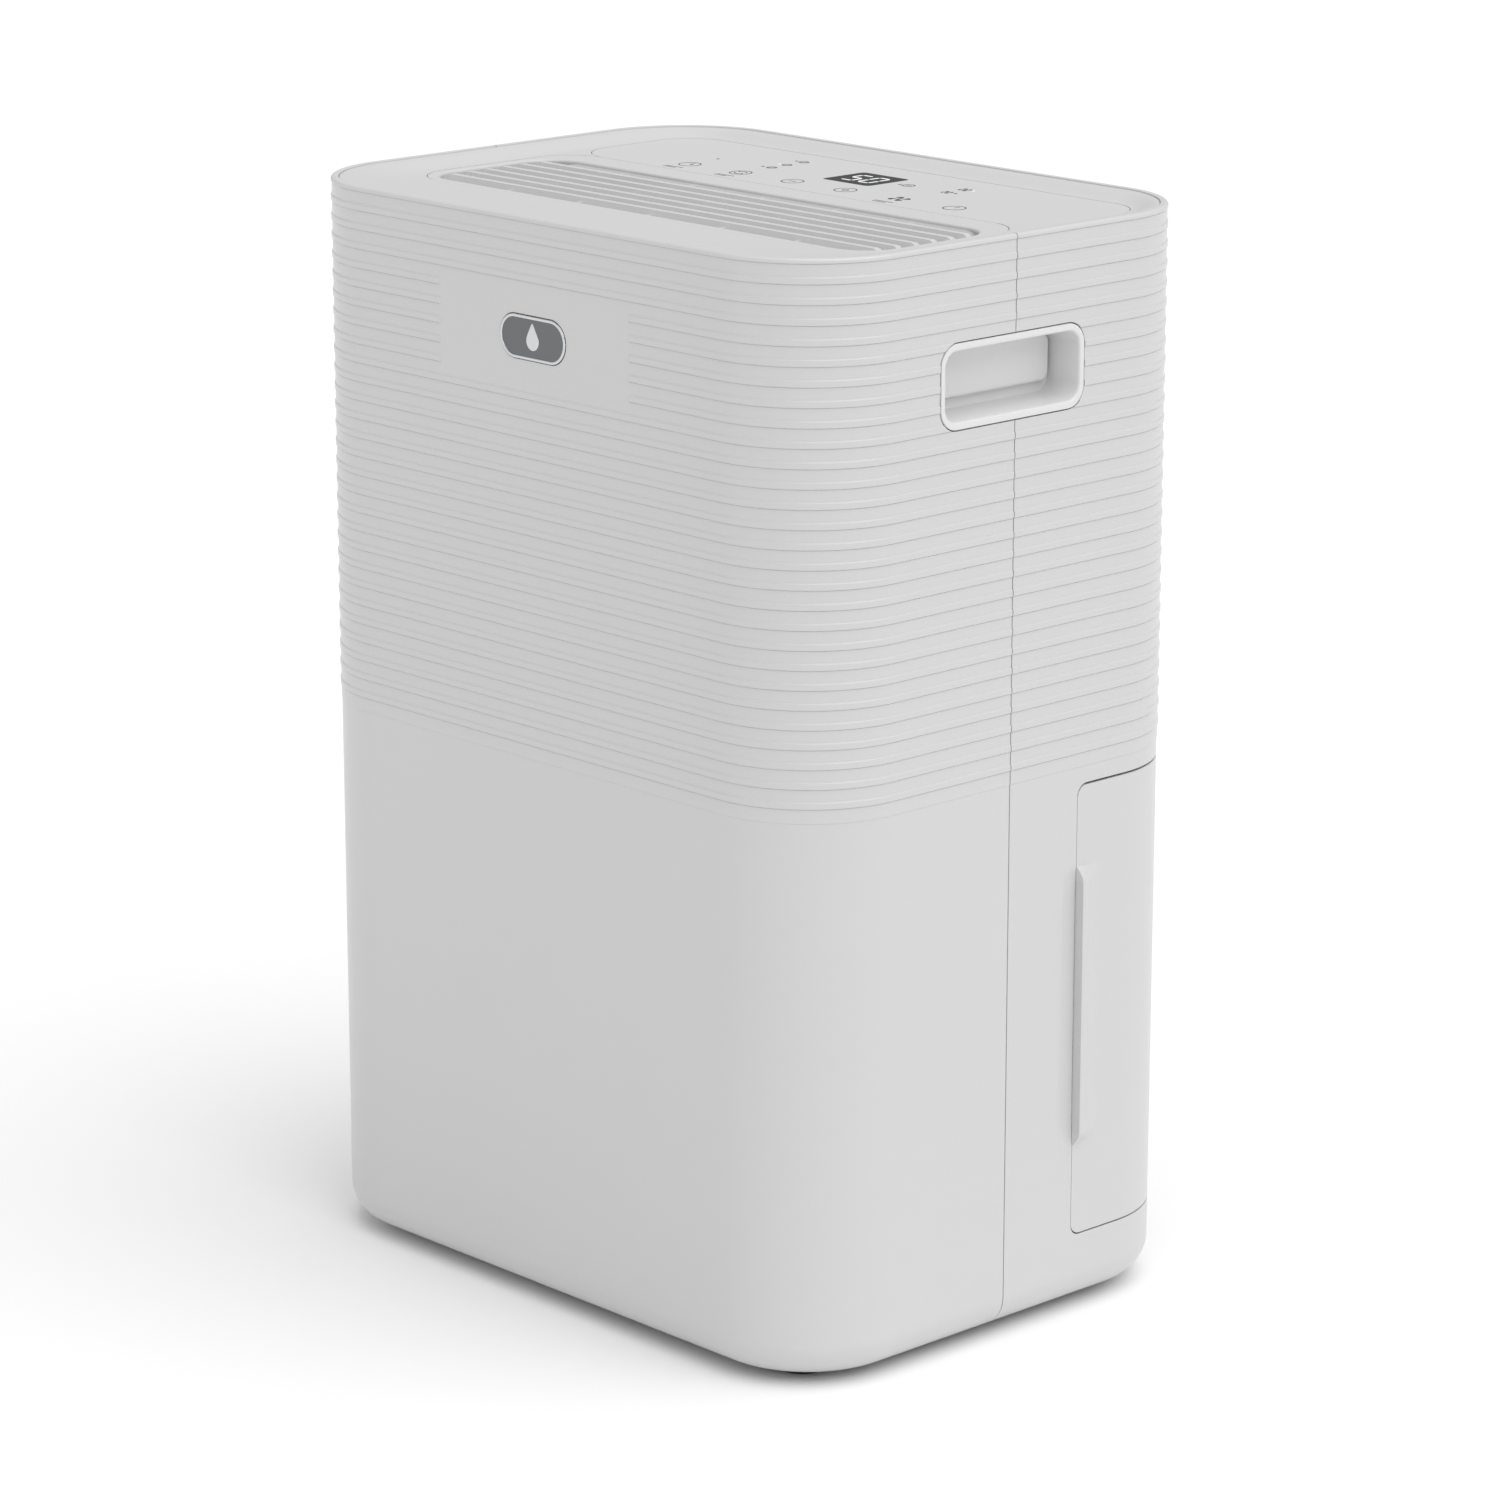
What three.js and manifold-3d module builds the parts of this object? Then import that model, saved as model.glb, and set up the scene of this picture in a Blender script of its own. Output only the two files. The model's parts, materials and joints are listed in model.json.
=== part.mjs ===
// Portable compressor dehumidifier, built as the separate pieces it comes apart into.
// Units are millimetres, +Z is up. The origin is on the floor under the middle of the body.
// The badge and the air outlet face -Y, the water tank and the air inlet face +Y.
import * as THREE from 'three'
import { mergeVertices } from 'three/addons/utils/BufferGeometryUtils.js'
import Module from 'manifold-3d'

const wasm = await Module()
wasm.setup()

// ---------------------------------------------------------------- driving dimensions

const WIDTH = 350
const DEPTH = 256
const HEIGHT = 510
const FOOT_HEIGHT = 4
const CORNER_R = 54
const BOTTOM_FILLET = 16.5
const WALL = 2.6
const GAP = 0.35
const SEAM_Y = -1.2
const CORNER_STEPS = 5
const ROUND_STEPS = 20

// ribbed upper zone stands a little proud of the smooth lower zone
const RIB_PITCH = 8.838
const RIB_BASE_Z = 269.2
const RIB_HEIGHT = 2.75
const RIB_PROUD = 0.65
const RIBBED_ZONE_Z = 262.7

// top cover and what it carries
const RIM = 3.9
const COVER_EDGE_Z = 509.4
const PANEL_Z = 505.7
const PANEL_HALF_X = 152
const PANEL_SPLIT_Y = 30.2
const PANEL_FRONT_Y = -72
const PANEL_REAR_Y = 108
const PANEL_R = 22
const COVER_UNDER_Z = 502.7
const DISPLAY = { x: 3.2, y: 74.8, w: 30.8, d: 27.6 }

// air outlet
const SLAT_COUNT = 6
const SLAT_PITCH = 10.95
const FIRST_SLAT_Y = -0.55
const SLAT_DEPTH = 3.35
const OUTLET = { x: 147.5, y0: -66.5, y1: 13.5, r: 18.5 }
const CROSS_RIB_PITCH = 48
const PLENUM = { x: 148, y0: -70, y1: 46, z0: 484 }

// openings in the top are cut from here up, from below everything they pass through
const TOP_CUT_Z = 480

// handle cups, one in each side
const CUP = { y0: -47.4, y1: 42.1, z0: 428, z1: 466.5, r: 10, depth: 27, rim: 4.5 }

// badge on the front
const BADGE = { w: 44, h: 20, z: 456 }

// water tank bay and tank
const TANK_FRONT_Y = 43
const TANK_Z0 = 39
const TANK_Z1 = 254
const TANK_R = 5.6
const BAY_X = 157
const BAY_FRONT_Y = 8
const BAY_FLOOR_Z = 39
const SHELF_Z = 256.5
const TUB = { x: 152, y0: 12, y1: 124.3, z0: 39.4, z1: 190, wall: 2, rFront: 12, rRear: 44 }
const GRIP = { z0: 83, z1: 216, proud: 4.4 }
const LID_T = 2.3
const BAIL = { y: 40, z: 198, reach: 50, x: 136, t: 8 }
const FLOAT = { y: 30, z: 181, x: 20 }

// air inlet and filter in the rear
const INLET = { x: 116, z0: 287, z1: 484 }
const INLET_T = 5.9

// air path inside
const FAN_Z = 372
const IMPELLER_R = 78
const IMPELLER = { y0: -26, y1: 35, hubR: 11, hubY1: 6 }
const BLADES = 18
const SHAFT = { r: 3, y0: -82, y1: 9 }
const MOTOR = { r: 40, y0: -76, y1: -40 }
const SCROLL_Y0 = -34
const SCROLL_Y1 = 44
const COIL_X = 112
const EVAPORATOR = { y0: 84, y1: 108, z0: 284, z1: 472 }
const CONDENSER = { y0: 52, y1: 79, z0: 284, z1: 472 }
const DRIP_TRAY = { x: 119, y0: 49, y1: 112, z0: 262, z1: 274, wall: 2 }
const SPOUT = { x: 0, y: 68, r: 6 }

// refrigerant circuit
const COMPRESSOR = { x: 60, y: -58, r: 50, z0: 22.8, z1: 190 }
const GROMMETS = [[6, -30], [116, -58], [6, -90]]
const ACCUMULATOR = { x: -14, y: -58, r: 19, z0: 70, z1: 176 }
const PIPE_R = 3.5
const CAPILLARY_R = 1.3
const COIL_END_X = COIL_X - 2.6
const PIPE_HOLES = [[138, -20], [138, -40], [138, -60]]

// electrics
const CONTROL_BOARD = { x: 104, y0: 50, y1: 100, z: 494 }
const POWER_BOARD = { x: -122, y0: -104, y1: -16, z0: 60, z1: 186 }
const BOARD_T = 1.6
const CAPACITOR = { x: -62, y: -84, r: 17.5, z0: 22, z1: 99 }
const SENSOR = { x: 132, y: 100, z: 441 }
const TANK_SWITCH = { x: -80, z: 150 }

const FEET = [[-135, -90], [135, -90], [135, 90], [-135, 90]]
const FOOT_R = 12.3
const SCREWS = [[-100, 492.5], [100, 492.5], [-60, 271], [60, 271]]

// ---------------------------------------------------------------- materials

const MATERIALS = {
  shell: [0xe9eaea, 0.42, 0],
  inner: [0xd5d6d6, 0.6, 0],
  print: [0xe9eaea, 0.3, 0],
  window: [0x0b0c0e, 0.1, 0],
  chrome: [0xd8dadc, 0.12, 1],
  rubber: [0x222325, 0.85, 0],
  tub: [0xbfc9cf, 0.25, 0],
  filter: [0x3a3d40, 0.9, 0],
  black_paint: [0x17181a, 0.45, 0.2],
  copper: [0xb87048, 0.35, 1],
  aluminium: [0xc4c7ca, 0.4, 1],
  steel: [0xa9adb0, 0.35, 1],
  board: [0x1e5a38, 0.6, 0],
  dark_plastic: [0x2b2d30, 0.6, 0],
}

function material(kind) {
  const [color, roughness, metalness] = MATERIALS[kind]
  return new THREE.MeshStandardMaterial({ color, roughness, metalness })
}

// ---------------------------------------------------------------- solids and booleans

// A closed geometry whose corners are shared, as a solid that can be joined and cut.
function solid(geometry) {
  const bare = geometry.index ? geometry.toNonIndexed() : geometry.clone()
  bare.deleteAttribute('normal')
  bare.deleteAttribute('uv')
  const merged = mergeVertices(bare, 1e-4)
  const vertProperties = new Float32Array(merged.attributes.position.array)
  const triVerts = new Uint32Array(merged.index.array)
  return new wasm.Manifold(new wasm.Mesh({ numProp: 3, vertProperties, triVerts }))
}

function join(first, ...others) {
  return others.reduce((sum, other) => sum.add(other), first)
}

function cut(first, ...others) {
  return others.reduce((rest, other) => rest.subtract(other), first)
}

function toGeometry(body) {
  const { numProp, vertProperties, triVerts } = body.getMesh()
  const geometry = new THREE.BufferGeometry()
  const count = vertProperties.length / numProp
  const position = new Float32Array(count * 3)
  for (let i = 0; i < count; i++) {
    for (let k = 0; k < 3; k++) position[3 * i + k] = vertProperties[numProp * i + k]
  }
  geometry.setAttribute('position', new THREE.BufferAttribute(position, 3))
  geometry.setIndex(new THREE.BufferAttribute(new Uint32Array(triVerts), 1))
  geometry.computeVertexNormals()
  return geometry
}

const model = new THREE.Group()

function place(name, kind, body) {
  const mesh = new THREE.Mesh(toGeometry(body), material(kind))
  mesh.name = name
  model.add(mesh)
}

// ---------------------------------------------------------------- basic shapes

function box(x0, x1, y0, y1, z0, z1) {
  const geometry = new THREE.BoxGeometry(x1 - x0, y1 - y0, z1 - z0)
  geometry.translate((x0 + x1) / 2, (y0 + y1) / 2, (z0 + z1) / 2)
  return solid(geometry)
}

function cylinderX(r, x0, x1, y, z, steps = ROUND_STEPS) {
  const geometry = new THREE.CylinderGeometry(r, r, x1 - x0, steps)
  geometry.rotateZ(Math.PI / 2)
  geometry.translate((x0 + x1) / 2, y, z)
  return solid(geometry)
}

function cylinderY(r, y0, y1, x, z, steps = ROUND_STEPS) {
  const geometry = new THREE.CylinderGeometry(r, r, y1 - y0, steps)
  geometry.translate(x, (y0 + y1) / 2, z)
  return solid(geometry)
}

function cylinderZ(r, z0, z1, x, y, steps = ROUND_STEPS) {
  const geometry = new THREE.CylinderGeometry(r, r, z1 - z0, steps)
  geometry.rotateX(Math.PI / 2)
  geometry.translate(x, y, (z0 + z1) / 2)
  return solid(geometry)
}

// A turned body about a vertical axis; the profile is a list of [radius, z] that
// starts and ends on the axis.
function turned(profile, x, y, steps = ROUND_STEPS) {
  const points = profile.map(([r, z]) => new THREE.Vector2(r, z))
  const geometry = new THREE.LatheGeometry(points, steps)
  geometry.rotateX(Math.PI / 2)
  geometry.translate(x, y, 0)
  return solid(geometry)
}

// A rounded rectangle with one radius, or with r for the low-v corners and rTop for the rest.
function roundedRect(u0, u1, v0, v1, r, rTop = r) {
  const shape = new THREE.Shape()
  shape.moveTo(u0 + r, v0)
  shape.lineTo(u1 - r, v0)
  shape.absarc(u1 - r, v0 + r, r, -Math.PI / 2, 0, false)
  shape.lineTo(u1, v1 - rTop)
  shape.absarc(u1 - rTop, v1 - rTop, rTop, 0, Math.PI / 2, false)
  shape.lineTo(u0 + rTop, v1)
  shape.absarc(u0 + rTop, v1 - rTop, rTop, Math.PI / 2, Math.PI, false)
  shape.lineTo(u0, v0 + r)
  shape.absarc(u0 + r, v0 + r, r, Math.PI, 1.5 * Math.PI, false)
  return shape
}

function polygon(points) {
  return new THREE.Shape(points.map(([u, v]) => new THREE.Vector2(u, v)))
}

// A shape in X and Y, carried from z0 to z1.
function prismZ(shape, z0, z1, curveSegments = 4) {
  const options = { depth: z1 - z0, bevelEnabled: false, curveSegments }
  const geometry = new THREE.ExtrudeGeometry(shape, options)
  geometry.translate(0, 0, z0)
  return solid(geometry)
}

// A shape in Y and Z, carried from x0 to x1.
function prismX(shape, x0, x1, curveSegments = 4) {
  const options = { depth: x1 - x0, bevelEnabled: false, curveSegments }
  const geometry = new THREE.ExtrudeGeometry(shape, options)
  geometry.rotateX(Math.PI / 2)
  geometry.rotateZ(Math.PI / 2)
  geometry.translate(x0, 0, 0)
  return solid(geometry)
}

// A shape in X and Z, carried from y0 to y1.
function prismY(shape, y0, y1, curveSegments = 4) {
  const options = { depth: y1 - y0, bevelEnabled: false, curveSegments }
  const geometry = new THREE.ExtrudeGeometry(shape, options)
  geometry.rotateX(Math.PI / 2)
  geometry.translate(0, y1, 0)
  return solid(geometry)
}

// One rounded-rectangle outline with a fixed number of points, for lofting.
function outline({ x0, x1, y0, y1, r, z }) {
  const centres = [[x1 - r, y0 + r], [x1 - r, y1 - r], [x0 + r, y1 - r], [x0 + r, y0 + r]]
  const points = []
  centres.forEach(([cx, cy], corner) => {
    for (let step = 0; step <= CORNER_STEPS; step++) {
      const angle = (corner - 1 + step / CORNER_STEPS) * Math.PI / 2
      points.push([cx + r * Math.cos(angle), cy + r * Math.sin(angle), z])
    }
  })
  return points
}

// A closed body through a stack of outlines, lowest first.
function loft(levels) {
  const rings = levels.map(outline)
  const count = rings[0].length
  const position = []
  const triangle = (a, b, c) => position.push(...a, ...b, ...c)
  for (let level = 0; level + 1 < rings.length; level++) {
    const low = rings[level]
    const high = rings[level + 1]
    for (let i = 0; i < count; i++) {
      const next = (i + 1) % count
      triangle(low[i], low[next], high[next])
      triangle(low[i], high[next], high[i])
    }
  }
  const bottom = rings[0]
  const top = rings[rings.length - 1]
  for (let i = 1; i + 1 < count; i++) {
    triangle(bottom[0], bottom[i + 1], bottom[i])
    triangle(top[0], top[i], top[i + 1])
  }
  const geometry = new THREE.BufferGeometry()
  geometry.setAttribute('position', new THREE.BufferAttribute(new Float32Array(position), 3))
  return solid(geometry)
}

// The body's plan, moved in by a distance, at one height.
function plan(inset, z) {
  const x = WIDTH / 2 - inset
  const y = DEPTH / 2 - inset
  return { x0: -x, x1: x, y0: -y, y1: y, r: CORNER_R - inset, z }
}

// A round tube or rod along a smooth path through points.
function tube(points, r, steps, sides = 8) {
  const path = new THREE.CatmullRomCurve3(points.map((p) => new THREE.Vector3(...p)))
  const section = new THREE.Shape()
  section.absarc(0, 0, r, 0, 2 * Math.PI, false)
  const options = { steps, extrudePath: path, bevelEnabled: false, curveSegments: sides / 2 }
  return solid(new THREE.ExtrudeGeometry(section, options))
}

// ---------------------------------------------------------------- housing

const LOWER_INSET = RIB_PROUD
const FILLET_TOP_Z = FOOT_HEIGHT + BOTTOM_FILLET

// Outer form: flat bottom, rounded bottom edge, smooth lower zone, ribbed upper zone.
function outerForm() {
  const levels = []
  const steps = 3
  for (let i = 0; i <= steps; i++) {
    const angle = (i / steps) * Math.PI / 2
    const inset = LOWER_INSET + BOTTOM_FILLET * (1 - Math.sin(angle))
    levels.push(plan(inset, FILLET_TOP_Z - BOTTOM_FILLET * Math.cos(angle)))
  }
  levels.push(plan(LOWER_INSET, RIBBED_ZONE_Z - RIB_PROUD))
  levels.push(plan(0, RIBBED_ZONE_Z))
  levels.push(plan(0, HEIGHT - 1.5))
  levels.push(plan(1.5, HEIGHT))
  return loft(levels)
}

// Hollow inside, open at the top and through the flat bottom.
function innerForm() {
  const lip = LOWER_INSET + BOTTOM_FILLET + 2
  const fillet = BOTTOM_FILLET - WALL
  const levels = [plan(lip, FOOT_HEIGHT - 1), plan(lip, FOOT_HEIGHT + WALL)]
  const steps = 2
  for (let i = 0; i <= steps; i++) {
    const angle = (i / steps) * Math.PI / 2
    const inset = LOWER_INSET + WALL + fillet * (1 - Math.sin(angle))
    levels.push(plan(inset, FILLET_TOP_Z - fillet * Math.cos(angle) + 0.01))
  }
  levels.push(plan(LOWER_INSET + WALL, RIBBED_ZONE_Z - 4))
  levels.push(plan(WALL, RIBBED_ZONE_Z + 4))
  levels.push(plan(WALL, COVER_UNDER_Z - 6))
  levels.push(plan(RIM - GAP, COVER_UNDER_Z - 4.5))
  levels.push(plan(RIM - GAP, HEIGHT + 1))
  return loft(levels)
}

const housingWall = cut(outerForm(), innerForm())

function cupShape(grow) {
  return roundedRect(CUP.y0 - grow, CUP.y1 + grow, CUP.z0 - grow, CUP.z1 + grow, CUP.r + grow)
}

function cupOpenings() {
  return prismX(cupShape(GAP), -WIDTH, WIDTH)
}

// Badge outline: a lying oval with round ends.
function badgeShape(grow) {
  const x = BADGE.w / 2 + grow
  const z = BADGE.h / 2 + grow
  return roundedRect(-x, x, BADGE.z - z, BADGE.z + z, z - 0.01)
}

const BADGE_SEAT_Y = -DEPTH / 2 + 2

function frontHousing() {
  const half = box(-WIDTH, WIDTH, -DEPTH, SEAM_Y - GAP / 2, -1, HEIGHT + 1)
  const badgeSeat = prismY(badgeShape(GAP), -DEPTH, BADGE_SEAT_Y)
  return cut(housingWall.intersect(half), cupOpenings(), badgeSeat)
}

// Side view of the opening that the tank panel fills.
function tankOpening(grow) {
  const r = TANK_R + grow
  return roundedRect(TANK_FRONT_Y - grow, DEPTH, TANK_Z0 - grow, TANK_Z1 + grow, r)
}

const WALL_INNER_Y = DEPTH / 2 - WALL
const SCREW_SEAT_Y = DEPTH / 2 - 3.4
const GLAND = { x: -105, z: 27, r: 6.8 }
const DRAIN = { x: 112, z: 270.5, r: 10 }

function screwBosses() {
  return SCREWS.map(([x, z]) => cylinderY(5.5, WALL_INNER_Y - 9, WALL_INNER_Y + 1, x, z, 10))
}

function screwHoles() {
  return SCREWS.flatMap(([x, z]) => [
    cylinderY(2.1, 100, DEPTH, x, z, 8),
    cylinderY(3.9, SCREW_SEAT_Y, DEPTH, x, z, 14),
  ])
}

function rearHousing() {
  const half = box(-WIDTH, WIDTH, SEAM_Y + GAP / 2, DEPTH, -1, HEIGHT + 1)
  const inletHole = box(-INLET.x, INLET.x, 90, DEPTH, INLET.z0, INLET.z1)
  const glandHole = cylinderY(GLAND.r + GAP, 90, DEPTH, GLAND.x, GLAND.z, 20)
  const drainHole = cylinderY(DRAIN.r + GAP, 90, DEPTH, DRAIN.x, DRAIN.z, 24)
  const body = join(housingWall.intersect(half), ...screwBosses())
  const tankHole = prismX(tankOpening(GAP), -WIDTH, WIDTH)
  return cut(body, cupOpenings(), tankHole, inletHole, glandHole, drainHole, ...screwHoles())
}

place('front_housing', 'shell', frontHousing())
place('rear_housing', 'shell', rearHousing())

// side is +1 for the right cup and -1 for the left one
function handleCup(side) {
  const outer = WIDTH / 2
  const inner = outer - CUP.depth
  const span = (a, b) => (side > 0 ? [a, b] : [-b, -a])
  const body = prismX(cupShape(0), ...span(inner, outer))
  const pocket = prismX(cupShape(-CUP.rim), ...span(inner + 4, outer + 5))
  return cut(body, pocket)
}

place('right_handle_cup', 'shell', handleCup(1))
place('left_handle_cup', 'shell', handleCup(-1))

function badge() {
  return prismY(badgeShape(0), -DEPTH / 2, BADGE_SEAT_Y - 0.3)
}

place('front_badge', 'chrome', badge())

// ---------------------------------------------------------------- top

function panelOutline(grow, yFront, yRear) {
  const x = PANEL_HALF_X + grow
  return roundedRect(-x, x, yFront - grow, yRear + grow, PANEL_R + grow)
}

// Dish in the cover: slopes from the rim down to the flat part with panel and grille.
function dish() {
  const flat = {
    x0: -PANEL_HALF_X - 1,
    x1: PANEL_HALF_X + 1,
    y0: PANEL_FRONT_Y - 1,
    y1: PANEL_REAR_Y + 1,
    r: PANEL_R + 1,
    z: PANEL_Z,
  }
  return loft([flat, plan(RIM + 2, COVER_EDGE_Z), plan(RIM + 2, HEIGHT + 2)])
}

const FILM_T = 1.2

function topCover() {
  const plate = loft([plan(RIM, COVER_UNDER_Z - 3.5), plan(RIM, COVER_EDGE_Z)])
  const under = loft([plan(RIM + 3, COVER_UNDER_Z - 5), plan(RIM + 3, COVER_UNDER_Z)])
  const seat = prismZ(
    panelOutline(GAP, PANEL_SPLIT_Y + 0.15, PANEL_REAR_Y), PANEL_Z - FILM_T - 0.3, HEIGHT)
  const grilleHole = prismZ(panelOutline(GAP, PANEL_FRONT_Y, PANEL_SPLIT_Y - 0.1), TOP_CUT_Z, HEIGHT)
  const displayHole = box(
    DISPLAY.x - DISPLAY.w / 2, DISPLAY.x + DISPLAY.w / 2,
    DISPLAY.y - DISPLAY.d / 2, DISPLAY.y + DISPLAY.d / 2, TOP_CUT_Z, HEIGHT)
  return cut(plate, dish(), under, seat, grilleHole, displayHole)
}

place('top_cover', 'shell', topCover())

function controlPanel() {
  const film = prismZ(
    panelOutline(0, PANEL_SPLIT_Y + 0.15, PANEL_REAR_Y), PANEL_Z - FILM_T, PANEL_Z)
  const window = box(
    DISPLAY.x - DISPLAY.w / 2 - GAP, DISPLAY.x + DISPLAY.w / 2 + GAP,
    DISPLAY.y - DISPLAY.d / 2 - GAP, DISPLAY.y + DISPLAY.d / 2 + GAP, TOP_CUT_Z, HEIGHT)
  return cut(film, window)
}

place('control_panel', 'print', controlPanel())

function displayLens() {
  const x = DISPLAY.w / 2
  const y = DISPLAY.d / 2
  const shape = roundedRect(
    DISPLAY.x - x, DISPLAY.x + x, DISPLAY.y - y, DISPLAY.y + y, 1.5)
  return prismZ(shape, PANEL_Z - FILM_T, PANEL_Z, 3)
}

place('display_lens', 'window', displayLens())

const SLAT_UNDER_Z = PANEL_Z - 7

// A frame round one wide mouth, crossed by the slats, with low ribs underneath them.
function outletGrille() {
  const plate = prismZ(
    panelOutline(0, PANEL_FRONT_Y, PANEL_SPLIT_Y - 0.2), COVER_UNDER_Z, PANEL_Z)
  const skirt = prismZ(
    panelOutline(-2, PANEL_FRONT_Y, PANEL_SPLIT_Y - 0.2), SLAT_UNDER_Z, PANEL_Z - 1)
  const mouth = prismZ(
    roundedRect(-OUTLET.x, OUTLET.x, OUTLET.y0, OUTLET.y1, OUTLET.r), TOP_CUT_Z, HEIGHT)
  const slats = []
  for (let i = 0; i < SLAT_COUNT; i++) {
    const front = FIRST_SLAT_Y - i * SLAT_PITCH
    slats.push(
      box(-OUTLET.x - 1, OUTLET.x + 1, front, front + SLAT_DEPTH, SLAT_UNDER_Z + 0.5, PANEL_Z - 0.3))
  }
  const crossRibs = [-2, 0, 2].map((i) => {
    const x = i * CROSS_RIB_PITCH
    return box(x - 0.8, x + 0.8, OUTLET.y0 - 1, OUTLET.y1 + 1, SLAT_UNDER_Z + 1, PANEL_Z - 2)
  })
  return join(cut(join(plate, skirt), mouth), ...slats, ...crossRibs)
}

place('outlet_grille', 'shell', outletGrille())

// ---------------------------------------------------------------- base, feet, tank bay

const BASE_INSET = LOWER_INSET + BOTTOM_FILLET + 2 + GAP
const BASE_TOP_Z = FOOT_HEIGHT + 4.5

function baseTray() {
  const plug = loft([plan(BASE_INSET, FOOT_HEIGHT), plan(BASE_INSET, BASE_TOP_Z)])
  const flange = loft([plan(15, FOOT_HEIGHT + WALL + 1), plan(15, BASE_TOP_Z)])
  const wallOuter = loft([plan(15, BASE_TOP_Z - 1), plan(15, BASE_TOP_Z + 8)])
  const wallInner = loft([plan(17, BASE_TOP_Z), plan(17, BASE_TOP_Z + 9)])
  return join(plug, flange, cut(wallOuter, wallInner))
}

place('base_tray', 'inner', baseTray())

FEET.forEach(([x, y], i) => {
  const profile = [
    [0, 0], [FOOT_R - 1.5, 0], [FOOT_R, 1.5], [FOOT_R, FOOT_HEIGHT - GAP], [0, FOOT_HEIGHT - GAP],
  ]
  place(`foot_${i + 1}`, 'rubber', turned(profile, x, y, 24))
})

// Floor, front wall, side walls and roof round the tank; the roof runs on as the shelf
// that carries the fan and the coils.
function bayLiner() {
  const t = 2
  const deep = 118
  const sideDeep = 92
  const shelf = loft([plan(6, SHELF_Z), plan(6, SHELF_Z + t)])
  const floorPlate = prismZ(
    roundedRect(-BAY_X - t, BAY_X + t, BAY_FRONT_Y - t, deep, 3, 42), BAY_FLOOR_Z - t, BAY_FLOOR_Z)
  const frontWall = box(-BAY_X - t, BAY_X + t, BAY_FRONT_Y - t, BAY_FRONT_Y, BAY_FLOOR_Z - t, SHELF_Z + 1)
  const rightWall = box(BAY_X, BAY_X + t, BAY_FRONT_Y - t, sideDeep, BAY_FLOOR_Z - t, SHELF_Z + 1)
  const leftWall = box(-BAY_X - t, -BAY_X, BAY_FRONT_Y - t, sideDeep, BAY_FLOOR_Z - t, SHELF_Z + 1)
  const stand = box(-120, 120, 40, 42, BASE_TOP_Z + 0.3, BAY_FLOOR_Z - 1)
  const holes = PIPE_HOLES.map(([x, y]) => cylinderZ(PIPE_R + 2, 250, 264, x, y, 16))
  const spoutHole = cylinderZ(SPOUT.r + 1, 250, 264, SPOUT.x, SPOUT.y, 20)
  return cut(join(shelf, floorPlate, frontWall, rightWall, leftWall, stand), ...holes, spoutHole)
}

place('bay_liner', 'inner', bayLiner())

// ---------------------------------------------------------------- water tank

function gripRidge(side) {
  const x = WIDTH / 2 - LOWER_INSET
  const top = x + GRIP.proud
  const section = [
    [x - 1.5, TANK_FRONT_Y], [top - 0.4, TANK_FRONT_Y], [top, TANK_FRONT_Y + 0.6],
    [top - 0.2, TANK_FRONT_Y + 3], [x + 1.6, TANK_FRONT_Y + 8], [x + 0.4, TANK_FRONT_Y + 14],
    [x - 1.5, TANK_FRONT_Y + 18],
  ]
  const placed = section.map(([u, v]) => [side * u, v])
  return prismZ(polygon(side > 0 ? placed : placed.reverse()), GRIP.z0, GRIP.z1)
}

function tankPanel() {
  const skin = housingWall.intersect(prismX(tankOpening(0), -WIDTH, WIDTH))
  return join(skin, gripRidge(1), gripRidge(-1))
}

place('tank_panel', 'shell', tankPanel())

function tubShape(grow) {
  const x = TUB.x + grow
  return roundedRect(-x, x, TUB.y0 - grow, TUB.y1 + grow, TUB.rFront + grow, TUB.rRear + grow)
}

function tankTub() {
  const outer = prismZ(tubShape(0), TUB.z0, TUB.z1)
  const inner = prismZ(tubShape(-TUB.wall), TUB.z0 + TUB.wall, TUB.z1 + 5)
  return cut(outer, inner)
}

place('tank_tub', 'tub', tankTub())

const LID_Z0 = TUB.z1 + 0.3
const LID_Z1 = LID_Z0 + LID_T

function bailLug(side) {
  const x = side * (BAIL.x + 9)
  return box(x - 3, x + 3, BAIL.y - 7, BAIL.y + 7, LID_Z1 - 1, BAIL.z + 6)
}

function floatLug(side) {
  const x = side * (FLOAT.x + 5.5)
  return box(x - 1.5, x + 1.5, FLOAT.y - 5, FLOAT.y + 5, FLOAT.z - 5, LID_Z0 + 1)
}

function tankLid() {
  const plate = prismZ(tubShape(-0.5), LID_Z0, LID_Z1)
  const rimOuter = prismZ(tubShape(-TUB.wall - GAP), LID_Z0 - 5, LID_Z0 + 1)
  const rimInner = prismZ(tubShape(-TUB.wall - GAP - 2), LID_Z0 - 6, LID_Z0)
  const dripHole = prismZ(roundedRect(-20, 20, SPOUT.y - 8, SPOUT.y + 22, 8), 150, 220, 4)
  const lugs = [bailLug(1), bailLug(-1), floatLug(1), floatLug(-1)]
  const bailHole = cylinderX(3.1, -150, 150, BAIL.y, BAIL.z, 12)
  const floatHole = cylinderX(2.3, -40, 40, FLOAT.y, FLOAT.z, 10)
  return cut(join(plate, cut(rimOuter, rimInner), ...lugs), dripHole, bailHole, floatHole)
}

place('tank_lid', 'inner', tankLid())

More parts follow.
